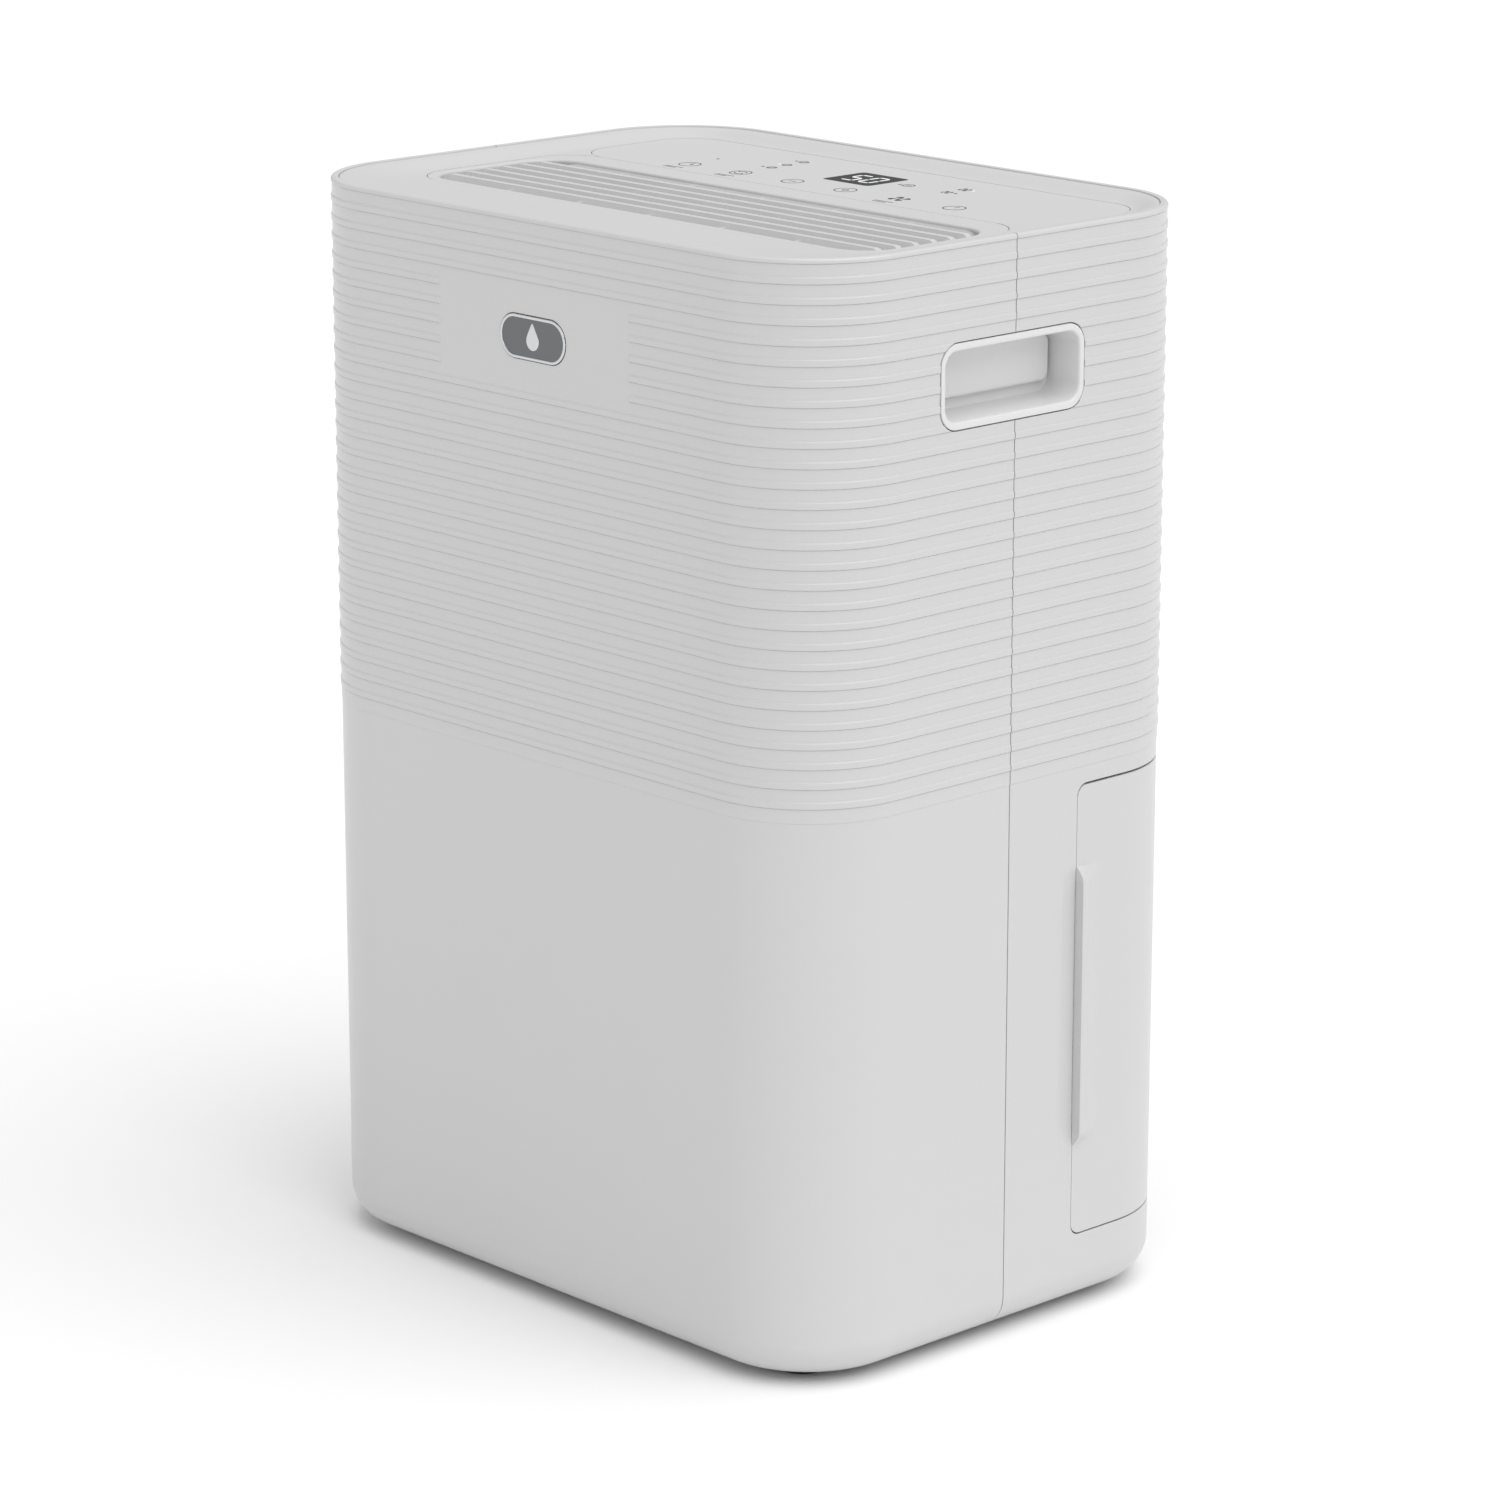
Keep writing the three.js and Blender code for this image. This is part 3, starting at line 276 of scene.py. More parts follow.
def merge(*parts):
    """One object holding the meshes of several, side by side."""
    bm = bmesh.new()
    for part in parts:
        bm.from_mesh(part.data)
    bm.to_mesh(parts[0].data)
    bm.free()
    for part in parts[1:]:
        bpy.data.objects.remove(part)
    return parts[0]


def boxes(limits):
    """Many plain thin strips or plates as one object, for nets and fin packs."""
    corners = [(i, j, k) for i in (0, 1) for j in (2, 3) for k in (4, 5)]
    quads = ((0, 1, 3, 2), (4, 6, 7, 5), (0, 4, 5, 1), (2, 3, 7, 6), (0, 2, 6, 4), (1, 5, 7, 3))
    verts = [tuple(box[i] for i in corner) for box in limits for corner in corners]
    faces = [tuple(8 * n + i for i in quad) for n in range(len(limits)) for quad in quads]
    return shape(verts, faces)


def settle(obj):
    """Replaces the mesh by what the modifiers make of it."""
    graph = bpy.context.evaluated_depsgraph_get()
    mesh = bpy.data.meshes.new_from_object(obj.evaluated_get(graph))
    obj.modifiers.clear()
    obj.data = mesh


def combine(obj, operation, others):
    for other in others:
        modifier = obj.modifiers.new("combine", "BOOLEAN")
        modifier.operation = operation
        modifier.solver = "MANIFOLD"
        modifier.object = other
        settle(obj)
        bpy.data.objects.remove(other)
    return obj


def cut(obj, *others):
    return combine(obj, "DIFFERENCE", others)


def join(obj, *others):
    return combine(obj, "UNION", others)


def keep(obj, *others):
    return combine(obj, "INTERSECT", others)


def round_edges(obj, width, where, steps=2, sharp=40):
    """Rounds the sharp edges whose two ends satisfy where(point)."""
    bm = bmesh.new()
    bm.from_mesh(obj.data)
    bmesh.ops.remove_doubles(bm, verts=bm.verts, dist=1e-3)
    limit = radians(sharp)
    edges = [
        e for e in bm.edges
        if len(e.link_faces) == 2 and e.calc_face_angle(0) > limit and all(where(v.co) for v in e.verts)
    ]
    bmesh.ops.bevel(
        bm, geom=edges, offset=width, segments=steps, profile=0.5, affect="EDGES", clamp_overlap=True)
    bm.to_mesh(obj.data)
    bm.free()
    return obj


def present(obj, name, look, body="housing", node=None, sharp=30):
    """Finishes a piece: metres, clean faces, smooth shading between sharp edges, its look and its body."""
    bm = bmesh.new()
    bm.from_mesh(obj.data)
    bmesh.ops.remove_doubles(bm, verts=bm.verts, dist=1e-3)
    bmesh.ops.dissolve_degenerate(bm, edges=bm.edges, dist=1e-4)
    bmesh.ops.recalc_face_normals(bm, faces=bm.faces)
    for face in bm.faces:
        face.smooth = True
    limit = radians(sharp)
    for edge in bm.edges:
        edge.smooth = len(edge.link_faces) == 2 and edge.calc_face_angle(0) < limit
    bmesh.ops.scale(bm, vec=(MM, MM, MM), verts=bm.verts)
    bm.to_mesh(obj.data)
    bm.free()
    obj.name = name
    obj.data.name = name
    obj.data.materials.clear()
    obj.data.materials.append(LOOKS[look])
    normals = obj.modifiers.new("normals", "WEIGHTED_NORMAL")
    normals.keep_sharp = True
    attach(obj, body)
    if node:
        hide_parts(node)


# ---- looks


def put(node, **values):
    """Sets a node's inputs by name, with _ in place of a space."""
    for name, value in values.items():
        node.inputs[name.replace("_", " ")].default_value = value


def surface(name, colour, roughness, mottle=0.02, patch_mm=70.0, grain_mm=0.6, relief_mm=0.012,
            spread=0.04, stretch=(1, 1, 1), **more):
    """A procedural finish: soft colour drift, fine grain in the relief, uneven gloss."""
    made = bpy.data.materials.new(name)
    made.use_nodes = True
    nodes = made.node_tree.nodes
    links = made.node_tree.links
    shader = nodes["Principled BSDF"]
    put(shader, **more)
    place = nodes.new("ShaderNodeTexCoord")
    mapping = nodes.new("ShaderNodeMapping")
    put(mapping, Scale=stretch)
    links.new(place.outputs["Object"], mapping.inputs["Vector"])

    def noise(size_mm, detail):
        node = nodes.new("ShaderNodeTexNoise")
        put(node, Scale=1 / (size_mm * MM), Detail=detail)
        links.new(mapping.outputs["Vector"], node.inputs["Vector"])
        return node.outputs["Fac"]

    drift = nodes.new("ShaderNodeMix")
    drift.data_type = "RGBA"
    drift.inputs["A"].default_value = [c * (1 - mottle) for c in colour] + [1]
    drift.inputs["B"].default_value = [min(1, c * (1 + mottle)) for c in colour] + [1]
    links.new(noise(patch_mm, 2.0), drift.inputs["Factor"])
    links.new(drift.outputs["Result"], shader.inputs["Base Color"])
    gloss = nodes.new("ShaderNodeMapRange")
    put(gloss, To_Min=roughness - spread, To_Max=roughness + spread)
    links.new(noise(patch_mm / 6, 3.0), gloss.inputs["Value"])
    links.new(gloss.outputs["Result"], shader.inputs["Roughness"])
    bump = nodes.new("ShaderNodeBump")
    put(bump, Distance=relief_mm * MM, Strength=0.6)
    links.new(noise(grain_mm, 2.0), bump.inputs["Height"])
    links.new(bump.outputs["Normal"], shader.inputs["Normal"])
    return made


def board_look():
    """Green solder mask with lighter copper tracks under it."""
    made = surface("circuit_board", (0.02, 0.13, 0.05), 0.35, mottle=0.1, patch_mm=8)
    nodes = made.node_tree.nodes
    links = made.node_tree.links
    tracks = nodes.new("ShaderNodeTexBrick")
    put(tracks, Scale=90, Mortar_Size=0.03, Mortar=(0.08, 0.3, 0.1, 1))
    put(tracks, Color1=(0.015, 0.12, 0.045, 1), Color2=(0.02, 0.15, 0.06, 1))
    links.new(nodes["Texture Coordinate"].outputs["Object"], tracks.inputs["Vector"])
    links.new(tracks.outputs["Color"], nodes["Principled BSDF"].inputs["Base Color"])
    return made


SHELL_COLOUR = (0.605, 0.605, 0.605)

METAL = {"Metallic": 1}
CLEAR = {"Transmission_Weight": 0.6, "IOR": 1.46}
GLOW = {"Emission_Color": (0.93, 0.96, 1.0, 1), "Emission_Strength": 0.36}

LOOKS = {
    "shell": surface("shell_plastic", SHELL_COLOUR, 0.3, mottle=0.008, grain_mm=0.9, relief_mm=0.006),
    "cover": surface("cover_plastic", SHELL_COLOUR, 0.4, mottle=0.008, grain_mm=0.7, relief_mm=0.008),
    # the cup is the shell's plastic painted lighter: a painted brightening that offsets the shade inside the
    # deep pocket
    "cup": surface("cup_plastic_painted_lighter", (0.71, 0.71, 0.71), 0.35, mottle=0.006, grain_mm=0.9, relief_mm=0.004),
    "inner": surface("inner_plastic", (0.5, 0.505, 0.505), 0.5, relief_mm=0.02),
    "print": surface("panel_print", (0.615, 0.615, 0.615), 0.3, mottle=0.006, grain_mm=0.5, relief_mm=0.004),
    "ink": surface("printed_ink", (0.03, 0.03, 0.032), 0.6, mottle=0.08, patch_mm=4),
    "window": surface("display_window", (0.009, 0.009, 0.011), 0.25, mottle=0.1, relief_mm=0.002, IOR=1.08),
    "lit": surface("display_light", (0.6, 0.61, 0.62), 0.5, patch_mm=3, **GLOW),
    "chrome": surface(
        "badge_chrome", (0.6, 0.61, 0.62), 0.14, mottle=0.05, relief_mm=0.002, spread=0.03, **METAL),
    "satin_chrome": surface("badge_field", (0.16, 0.163, 0.168), 0.3, mottle=0.06, grain_mm=0.25, **METAL),
    "rubber": surface("rubber_black", (0.02, 0.02, 0.022), 0.8, mottle=0.2, grain_mm=0.5, relief_mm=0.05),
    "tank": surface(
        "tank_plastic", (0.74, 0.84, 0.9), 0.22, mottle=0.03, relief_mm=0.02, grain_mm=4, **CLEAR),
    "net": surface("filter_net", (0.045, 0.05, 0.055), 0.7, mottle=0.15, patch_mm=20),
    "dark": surface("dark_plastic", (0.03, 0.032, 0.035), 0.5, mottle=0.1, relief_mm=0.03),
    "paint": surface(
        "black_paint", (0.013, 0.013, 0.014), 0.28, mottle=0.15, grain_mm=2.5, relief_mm=0.06,
        Coat_Weight=0.3),
    "copper": surface("copper", (0.72, 0.36, 0.22), 0.3, mottle=0.14, patch_mm=14, spread=0.1, **METAL),
    "fins": surface(
        "coil_aluminium", (0.72, 0.73, 0.74), 0.34, mottle=0.06, patch_mm=25, stretch=(1, 4, 1), **METAL),
    "steel": surface("steel", (0.56, 0.57, 0.58), 0.3, mottle=0.05, patch_mm=12, stretch=(1, 6, 1), **METAL),
    "board": board_look(),
    "foam": surface(
        "float_foam", (0.74, 0.74, 0.72), 0.85, mottle=0.05, patch_mm=2, grain_mm=0.8, relief_mm=0.12),
}

# ---- housing


def plan_columns():
    """The body's widest plan as (x, y, normal x, normal y, on the badge patch)."""
    cx = HALF_X - CORNER_R
    cy = HALF_Y - CORNER_R
    stops = [-PATCH_X - 0.6, -PATCH_X, PATCH_X, PATCH_X + 0.6]
    columns = [(x, -HALF_Y, 0, -1, abs(x) <= PATCH_X) for x in stops]
    for quarter, (sx, sy) in enumerate(((1, -1), (1, 1), (-1, 1), (-1, -1))):
        for k in range(CORNER_STEPS + 1):
            angle = (quarter - 1 + k / CORNER_STEPS) * pi / 2
            nx = cos(angle)
            ny = sin(angle)
            columns.append((sx * cx + CORNER_R * nx, sy * cy + CORNER_R * ny, nx, ny, False))
    return columns


COLUMNS = plan_columns()


def plan_ring(inset, z, rib=None):
    """The plan moved in by inset; a rib that meets the badge patch stops at its edges."""
    points = []
    for x, y, nx, ny, on_patch in COLUMNS:
        d = VALLEY if on_patch and rib in PATCH_RIBS else inset
        points.append((x - nx * d, y - ny * d, z))
    return points


def ledge(z, rib=None):
    """The narrow groove under a rib and the rib's crisp lower edge."""
    deep = VALLEY + GROOVE
    return [
        (VALLEY, z - 0.36, rib), (deep - 0.04, z - 0.31, rib), (deep, z - 0.26, rib), (deep, z - 0.06, rib),
        (0.16, z, rib), (0.05, z + 0.04, rib), (0, z + 0.14, rib),
    ]


def rib_rows(rib):
    z = RIB_BASE_Z + rib * RIB_PITCH
    top = z + RIB_HEIGHT
    crest = [(0, top - 0.4, rib), (0.05, top - 0.12, rib), (0.2, top + 0.08, rib)]
    return ledge(z, rib) + crest + [(VALLEY - 0.06, top + 0.34, rib), (VALLEY, top + 0.6, rib)]


def fillet_rows(inset, r, steps):
    """The rounded bottom edge, from the flat underside up to the wall."""
    rows = []
    for k in range(steps + 1):
        angle = k / steps * pi / 2
        out = inset + r * (1 - sin(angle))
        rows.append((out, BOTTOM_Z + BOTTOM_FILLET - r * cos(angle)))
    return rows


def housing_wall():
    lip = LOWER_INSET + BOTTOM_FILLET + 2
    rows = [(lip, BOTTOM_Z + WALL), (lip, BOTTOM_Z)]
    rows += fillet_rows(LOWER_INSET, BOTTOM_FILLET, 14)
    rows += [(LOWER_INSET, LOWER_TOP_Z - 0.3), (LOWER_INSET - 0.02, LOWER_TOP_Z - 0.1)]
    rows += [(VALLEY + 0.04, LOWER_TOP_Z), (VALLEY, LOWER_TOP_Z + 0.2)]
    for rib in range(RIB_COUNT):
        rows += rib_rows(rib)
    rows += ledge(RIB_BASE_Z + RIB_COUNT * RIB_PITCH)
    for k in range(1, 9):
        angle = k / 8 * pi / 2
        rows.append((RIM_R * (1 - cos(angle)), TOP_Z - RIM_R * (1 - sin(angle))))
    inner = RIM - RIM_GAP
    rows += [(inner - 0.8, TOP_Z), (inner - 0.25, TOP_Z - 0.2), (inner, TOP_Z - 0.7)]
    rows += [(inner, TOP_Z - 11.8), (WALL, TOP_Z - 13.3), (WALL, LOWER_TOP_Z + 4)]
    rows += [(LOWER_INSET + WALL, LOWER_TOP_Z - 4)]
    rows += reversed(fillet_rows(LOWER_INSET + WALL, BOTTOM_FILLET - WALL, 8))
    return loft([plan_ring(*row) for row in rows], around=True)


def halfspace(y0, y1):
    return prism([(-FAR, y0), (FAR, y0), (FAR, y1), (-FAR, y1)], "z", -50, 700)


def cup_holes():
    grow = 0.34
    outline = rounded(CUP_Y[0] - grow, CUP_Y[1] + grow, CUP_Z[0] - grow, CUP_Z[1] + grow, CUP_R + grow, 12)
    return prism(outline, "x", *THROUGH_SIDES)


def tank_outline(low, high, front, r):
    """The tank panel's outline seen from the side, let out by three gaps."""
    return rounded(TANK_Y0 - front, FAR, TANK_Z[0] - low, TANK_Z[1] + high, r, 8)


def front_shell():
    wall = keep(housing_wall(), halfspace(-FAR, SEAM_Y - SEAM_HALF))
    (x0, x1), _, (z0, z1) = span("front_badge")
    r = (z1 - z0) / 2 + GAP - 0.05
    levels = profile(-HALF_Y, (0, -5), (0, 2))
    seat = pad(x0 - GAP, x1 + GAP, z0 - GAP, z1 + GAP, r, "y", levels, 16)
    present(cut(wall, cup_holes(), seat), "front_shell", "shell", node="front_housing")


def scoop(side):
    """The very shallow hollow in the wall that lets fingers behind the tank's grip."""
    r = 34.0
    depth = 0.55
    x = side * (HALF_X - LOWER_INSET + r - depth)
    z0, z1 = GRIP_Z
    levels = [(r - depth - 0.1, z0 - 6), (r - 0.25, z0 + 2), (r, z0 + 12)]
    levels += [(r, z1 - 12), (r - 0.25, z1 - 2), (r - depth - 0.1, z1 + 6)]
    return drum("z", x, TANK_Y0 - 3.5, levels, 160)


def rear_shell():
    wall = keep(housing_wall(), halfspace(SEAM_Y + SEAM_HALF, FAR))
    for node in SCREW_NODES:
        x, z, *_ = round_part(node, "y")
        boss = rod("y", x, z, 5.5, HALF_Y - 12, HALF_Y - WALL + 0.8, 32)
        hole = [(2.1, THROUGH_REAR[0]), (2.1, SCREW_SEAT_Y), (3.9, SCREW_SEAT_Y), (3.9, THROUGH_REAR[1])]
        wall = cut(join(wall, boss), drum("y", x, z, hole, 40))
    tank_hole = prism(tank_outline(0.45, 0.45, TANK_GAP, TANK_R + TANK_GAP), "x", *THROUGH_SIDES)
    inlet_hole = block(
        INLET_X[0] - GAP, INLET_X[1] + GAP, *THROUGH_REAR, INLET_Z[0] - GAP, INLET_Z[1] + GAP, 0.5, 3, "y", 6)
    wall = cut(wall, cup_holes(), tank_hole, scoop(1), scoop(-1), inlet_hole)
    x, z, *_ = round_part("cord_gland", "y")
    wall = cut(wall, rod("y", x, z, 7.15, *THROUGH_REAR))
    x, z, r, *_ = round_part("drain_port", "y")
    wall = cut(wall, rod("y", x, z, r + GAP, *THROUGH_REAR, 64))
    top = TANK_Z[1] + 0.45

    def tank_hole_edge(p):
        front = abs(p.y - TANK_Y0) < 6.5 and TANK_Z[0] - 1 < p.z < top and abs(p.x) > 170
        return p.y > TANK_Y0 - 1 and (abs(p.z - top) < 0.02 or front)

    round_edges(wall, 0.25, tank_hole_edge)
    present(wall, "rear_shell", "shell", node="rear_housing")


def handle_cup(side):
    """A deep finger cup: flat rim, drafted pocket, raised back plate in a channel."""
    rows = [
        (27, 0.2, 0), (4.6, 0.2, 0), (4.6, -2.2, 0), (3.0, -2.2, 0), (3.0, 0.2, 0), (0.4, 0.2, 0),
        (0.12, 0.3, 0), (0.02, 0.55, 0), (0, 0.85, 0), (0, 2.2, 0), (0.1, 2.5, 0), (0.4, 2.82, 0),
        (0.95, 3.02, 0), (1.9, 3.1, 0), (18.6, 3.7, 0.5), (19.5, 4.0, 0.6), (20, 4.7, 0.8),
        (20, 5.4, 3.3), (17.3, 5.7, 3.5), (16.8, 5.95, 3.6), (16.55, 6.4, 3.8), (16.5, 7.0, 4.0),
    ]
    rings = []
    for depth, inset, lift in rows:
        tall = inset * 1.2 if inset > 0 else inset
        outline = rounded(
            CUP_Y[0] + inset, CUP_Y[1] - inset, CUP_Z[0] + tall + lift, CUP_Z[1] - tall, CUP_R - inset, 12)
        rings.append([(side * (HALF_X - depth), y, z) for y, z in outline])
    name = "right_handle_cup" if side > 0 else "left_handle_cup"
    present(loft(rings), name + "_skin", "cup", node=name, sharp=35)


def badge():
    """A plated oval with a satin field and a raised water drop."""
    (x0, x1), (y0, _), (z0, z1) = span("front_badge")
    r = (z1 - z0) / 2 - 0.02
    levels = profile(y0, (0, 1.4), (0, 0.35), (0.12, 0.1), (0.4, 0), (1.1, 0), (1.4, 0.12), (1.5, 0.45))
    present(pad(x0, x1, z0, z1, r, "y", levels, 20), "badge_plate", "chrome", node="front_badge")
    e = 1.45
    levels = profile(y0, (0, 0.6), (0, 0.36), (0.2, 0.3))
    field = pad(x0 + e, x1 - e, z0 + e, z1 - e, r - e, "y", levels, 20)
    present(field, "badge_field", "satin_chrome")
    middle = (z0 + z1) / 2
    rings = []
    for scale, y in profile(y0, (1, 0.5), (1, 0.2), (0.9, 0.08), (0.6, 0.02)):
        rings.append([(scale * u, y, middle - 1.2 + scale * v) for u, v in drop_outline(4.2, 12.4)])
    present(loft(rings), "badge_drop", "chrome", sharp=40)


def drop_outline(r, height, steps=24):
    """A water drop: a round base drawn up to a point."""
    points = []
    for k in range(steps + 1):
        angle = -pi / 2 + k / steps * 2 * pi
        lift = max(0.0, sin(angle)) ** 3
        points.append((r * cos(angle) * (1 - 0.5 * lift), r * sin(angle) + lift * (height - 2 * r)))
    return points[:-1]


front_shell()
rear_shell()
handle_cup(1)
handle_cup(-1)
badge()

# ---- top cover, panel, display


def cover_ring(inset, z):
    outline = rounded(
        inset - HALF_X, HALF_X - inset, inset - HALF_Y, HALF_Y - inset, CORNER_R - inset, 20)
    return [(x, y, z) for x, y in outline]


def dish_rings(edge, z_edge, z_flat, steps):
    """Rings from the cover's edge down a soft slope to the flat floor round panel and grille."""
    outer = cover_ring(edge, 0)
    inner = rounded(OUTLET_X[0] - 1, OUTLET_X[1] + 1, OUTLET_Y[0] - 1, PANEL_Y[1] + 1, PANEL_R + 1, 20)
    rings = []
    for k in range(steps + 1):
        t = k / steps
        eased = t * t * (3 - 2 * t)
        z = z_edge + (z_flat - z_edge) * (0.35 * t + 0.65 * eased)
        rings.append([(a[0] + (b[0] - a[0]) * t, a[1] + (b[1] - a[1]) * t, z) for a, b in zip(outer, inner)])
    return rings


def panel_pad(grow, y0, y1, levels):
    """A rounded plate as wide as panel and grille, grown sideways."""
    return pad(
        OUTLET_X[0] - grow, OUTLET_X[1] + grow, y0 - grow, y1 + grow, PANEL_R + grow, "z", levels, 16)


def top_cover():
    rings = list(reversed(dish_rings(RIM + 1, COVER_Z - 4, FLAT_Z - 3, 6)))
    edge = profile(COVER_Z, (RIM, -3.6), (RIM, -0.6), (RIM + 0.12, -0.2), (RIM + 0.45, -0.03))
    rings += [cover_ring(inset, z) for inset, z in edge]
    cover = loft(rings + dish_rings(RIM + 0.9, COVER_Z, FLAT_Z, 14))
    seat = panel_pad(GAP, *PANEL_Y, [(0, PANEL_Z[0] - 0.3), (0, THROUGH_TOP[1])])
    hole = panel_pad(GAP, *OUTLET_Y, [(0, z) for z in THROUGH_TOP])
    (x0, x1), (y0, y1), _ = span("display_lens")
    window = block(x0 - 0.2, x1 + 0.2, y0 - 0.2, y1 + 0.2, *THROUGH_TOP, 0.5, 1.5)
    present(cut(cover, seat, hole, window), "top_cover_skin", "cover", node="top_cover")


def control_panel():
    top = PANEL_Z[1]
    levels = [(0, PANEL_Z[0])] + profile(top, (0, -0.25), (0.08, -0.07), (0.25, 0))
    (x0, x1), (y0, y1), _ = span("display_lens")
    window = block(x0 - 0.12, x1 + 0.12, y0 - 0.12, y1 + 0.12, *THROUGH_TOP, 0.5, 2.6, "z", 6)
    film = cut(panel_pad(0, *PANEL_Y, levels), window)
    present(film, "panel_film", "print", node="control_panel")
    levels = profile(top, (0, -1.2), (0, -0.2), (0.06, -0.06), (0.2, 0))
    present(pad(x0, x1, y0, y1, 2.5, "z", levels, 8), "display_glass", "window", node="display_lens")


def bar(u0, v0, u1, v1, t):
    """A straight printed stroke of width t with round-looking ends."""
    along = Vector((u1 - u0, v1 - v0)).normalized()
    side = Vector((-along.y, along.x)) * t / 2
    tip = along * t * 0.35
    a, b = Vector((u0, v0)), Vector((u1, v1))
    corners = [a - side, a - tip - side * 0.4, a - tip + side * 0.4, a + side]
    corners += [b + side, b + tip + side * 0.4, b + tip - side * 0.4, b - side]
    return prism([tuple(c) for c in corners], "z", FLAT_Z, FLAT_Z + PRINT_T)


def arc(u, v, r, t, start=0.0, stop=360.0, steps=40):
    """A printed ring or part of one, between two angles in degrees."""
    full = stop - start >= 360
    count = steps if full else steps + 1
    low, high = r - t / 2, r + t / 2
    section = ((low, FLAT_Z), (high, FLAT_Z), (high, FLAT_Z + PRINT_T), (low, FLAT_Z + PRINT_T))
    rings = []
    for k in range(count):
        angle = radians(start + (stop - start) * k / steps)
        rings.append([(*polar(d, angle, u, v), z) for d, z in section])
    return loft(rings, around=full)


def dot(u, v, r):
    return rod("z", u, v, r, FLAT_Z, FLAT_Z + PRINT_T, 20)


def fan_marks(u, v, r):
    """Four swept blades round a hub."""
    parts = [dot(u, v, r * 0.16)]
    for k in range(4):
        lead = [(r * (0.25 + 0.75 * i / 5), 90 * k + 20 * i / 5) for i in range(6)]
        tip = [(r * 1.02, 90 * k + 35), (r * 0.95, 90 * k + 58)]
        trail = [(r * (0.3 + 0.5 * i / 4), 90 * k + 30 + 36 * i / 4) for i in range(4, -1, -1)]
        outline = [polar(d, radians(a), u, v) for d, a in lead + tip + trail]
        parts.append(prism(outline, "z", FLAT_Z, FLAT_Z + PRINT_T))
    return parts


def key_marks():
    """A ring and a sign on each key, and plain bars in place of words."""
    parts = []
    for name, x in KEY_X.items():
        parts += [bar(x + u0, KEY_Y + v0, x + u1, KEY_Y + v1, LINE) for u0, v0, u1, v1 in SIGNS[name]]
        if name == "fan":
            parts += fan_marks(x, KEY_Y, KEY_R)
        else:
            parts.append(arc(x, KEY_Y, KEY_R, LINE, steps=56))
        if name == "mode":
            parts += [arc(x, KEY_Y, 2.9, LINE, start, start + 130, 14) for start in (20, 200)]
        if name in ("timer", "mode", "fan"):
            parts += [bar(x - 5.6, y, x + end, y, 0.6) for y, end in ((36, 5.6), (34, 2.4))]
    return parts


def status_marks():
    """Small icons, each with a dot beside it."""
    parts = []
    for x, y in ((-52, 67), (-52.7, 77.5), (-53.2, 89.2)):
        parts += [arc(x, y, 2.3, LINE, 0, 360, 24), bar(x - 1.2, y - 1.2, x + 1.2, y + 1.2, LINE)]
    parts += [arc(30.3, 76, 2.9, LINE, 0, 360, 24), bar(28.6, 76, 32, 76, LINE)]
    parts += fan_marks(56.2, 75, 3.0) + fan_marks(57, 86, 3.4)
    for x, y in ((-57.4, 66.4), (-58.2, 89.2), (25.4, 75.3), (61.5, 75.2), (-88.8, 66.6)):
        parts.append(dot(x, y, 0.85))
    return parts


def digit(character, u, v, w, h, t):
    """Seven-segment strokes of one digit, its lower left corner at (u, v)."""
    ends = {
        "a": (0, h, w, h), "b": (w, h / 2, w, h), "c": (w, 0, w, h / 2), "d": (0, 0, w, 0),
        "e": (0, 0, 0, h / 2), "f": (0, h / 2, 0, h), "g": (0, h / 2, w, h / 2),
    }
    parts = []
    for name in SEGMENTS[character]:
        u0, v0, u1, v1 = ends[name]
        du, dv = (t * 0.62, 0) if v0 == v1 else (0, t * 0.62)
        parts.append(bar(u + u0 + du, v + v0 + dv, u + u1 - du, v + v1 - dv, t))
    return parts


def panel_marks():
    present(merge(*key_marks(), *status_marks()), "panel_marks", "ink")
    x, y, _ = centre("display_lens")
    low, w, h, t = y - 7.2, 6.8, 14.4, 1.6
    lit = merge(*digit("5", x - 9, low, w, h, t), *digit("0", x + 2.1, low, w, h, t))
    present(lit, "display_digits", "lit")
    present(merge(dot(-57.1, 76.8, 0.95), dot(62, 86.2, 0.95)), "status_lamps", "lit")


def outlet_grille():
    """A frame round one wide mouth, slats whose ends bend down inside it, and low cross ribs."""
    low, top = OUTLET_Z
    front, rear = MOUTH_Y
    plate = panel_pad(0, *OUTLET_Y, profile(top, (0, -3), (0, -0.3), (0.09, -0.09), (0.3, 0)))
    body = join(plate, panel_pad(-2, *OUTLET_Y, [(0, low), (0, top - 1)]))
    body = cut(body, prism(rounded(-MOUTH_X, MOUTH_X, front, rear, MOUTH_R, 20), "z", *THROUGH_TOP))

    def mouth_edge(p):
        return abs(p.z - top) < 0.01 and abs(p.x) < MOUTH_X + 0.1 and front - 0.1 < p.y < rear + 0.1

    round_edges(body, MOUTH_LIP, mouth_edge, 5)
    below = low + 0.4
    slope = [(rear, top - MOUTH_LIP), (rear - 5, below), (rear + 3, below), (rear + 3, top - MOUTH_LIP)]
    body = join(body, prism(slope, "x", -MOUTH_X - 1, MOUTH_X + 1))
    for i in range(SLAT_COUNT):
        y = FIRST_SLAT_Y - i * SLAT_PITCH
        body = join(body, slat(y, y + SLAT_DEPTH, top - 0.12))
    for i in range(-2, 3):
        x = i * CROSS_PITCH
        body = join(body, block(x - 0.9, x + 0.9, front - 1, rear + 1, low + 0.8, top - 2.1, 0.3))
    present(body, "outlet_grille_skin", "cover", node="outlet_grille")


def mouth_half(y):
    """Half the mouth's width at a depth y."""
    off = max(MOUTH_Y[0] + MOUTH_R - y, y - MOUTH_Y[1] + MOUTH_R, 0)
    return MOUTH_X - MOUTH_R + sqrt(MOUTH_R ** 2 - off ** 2)


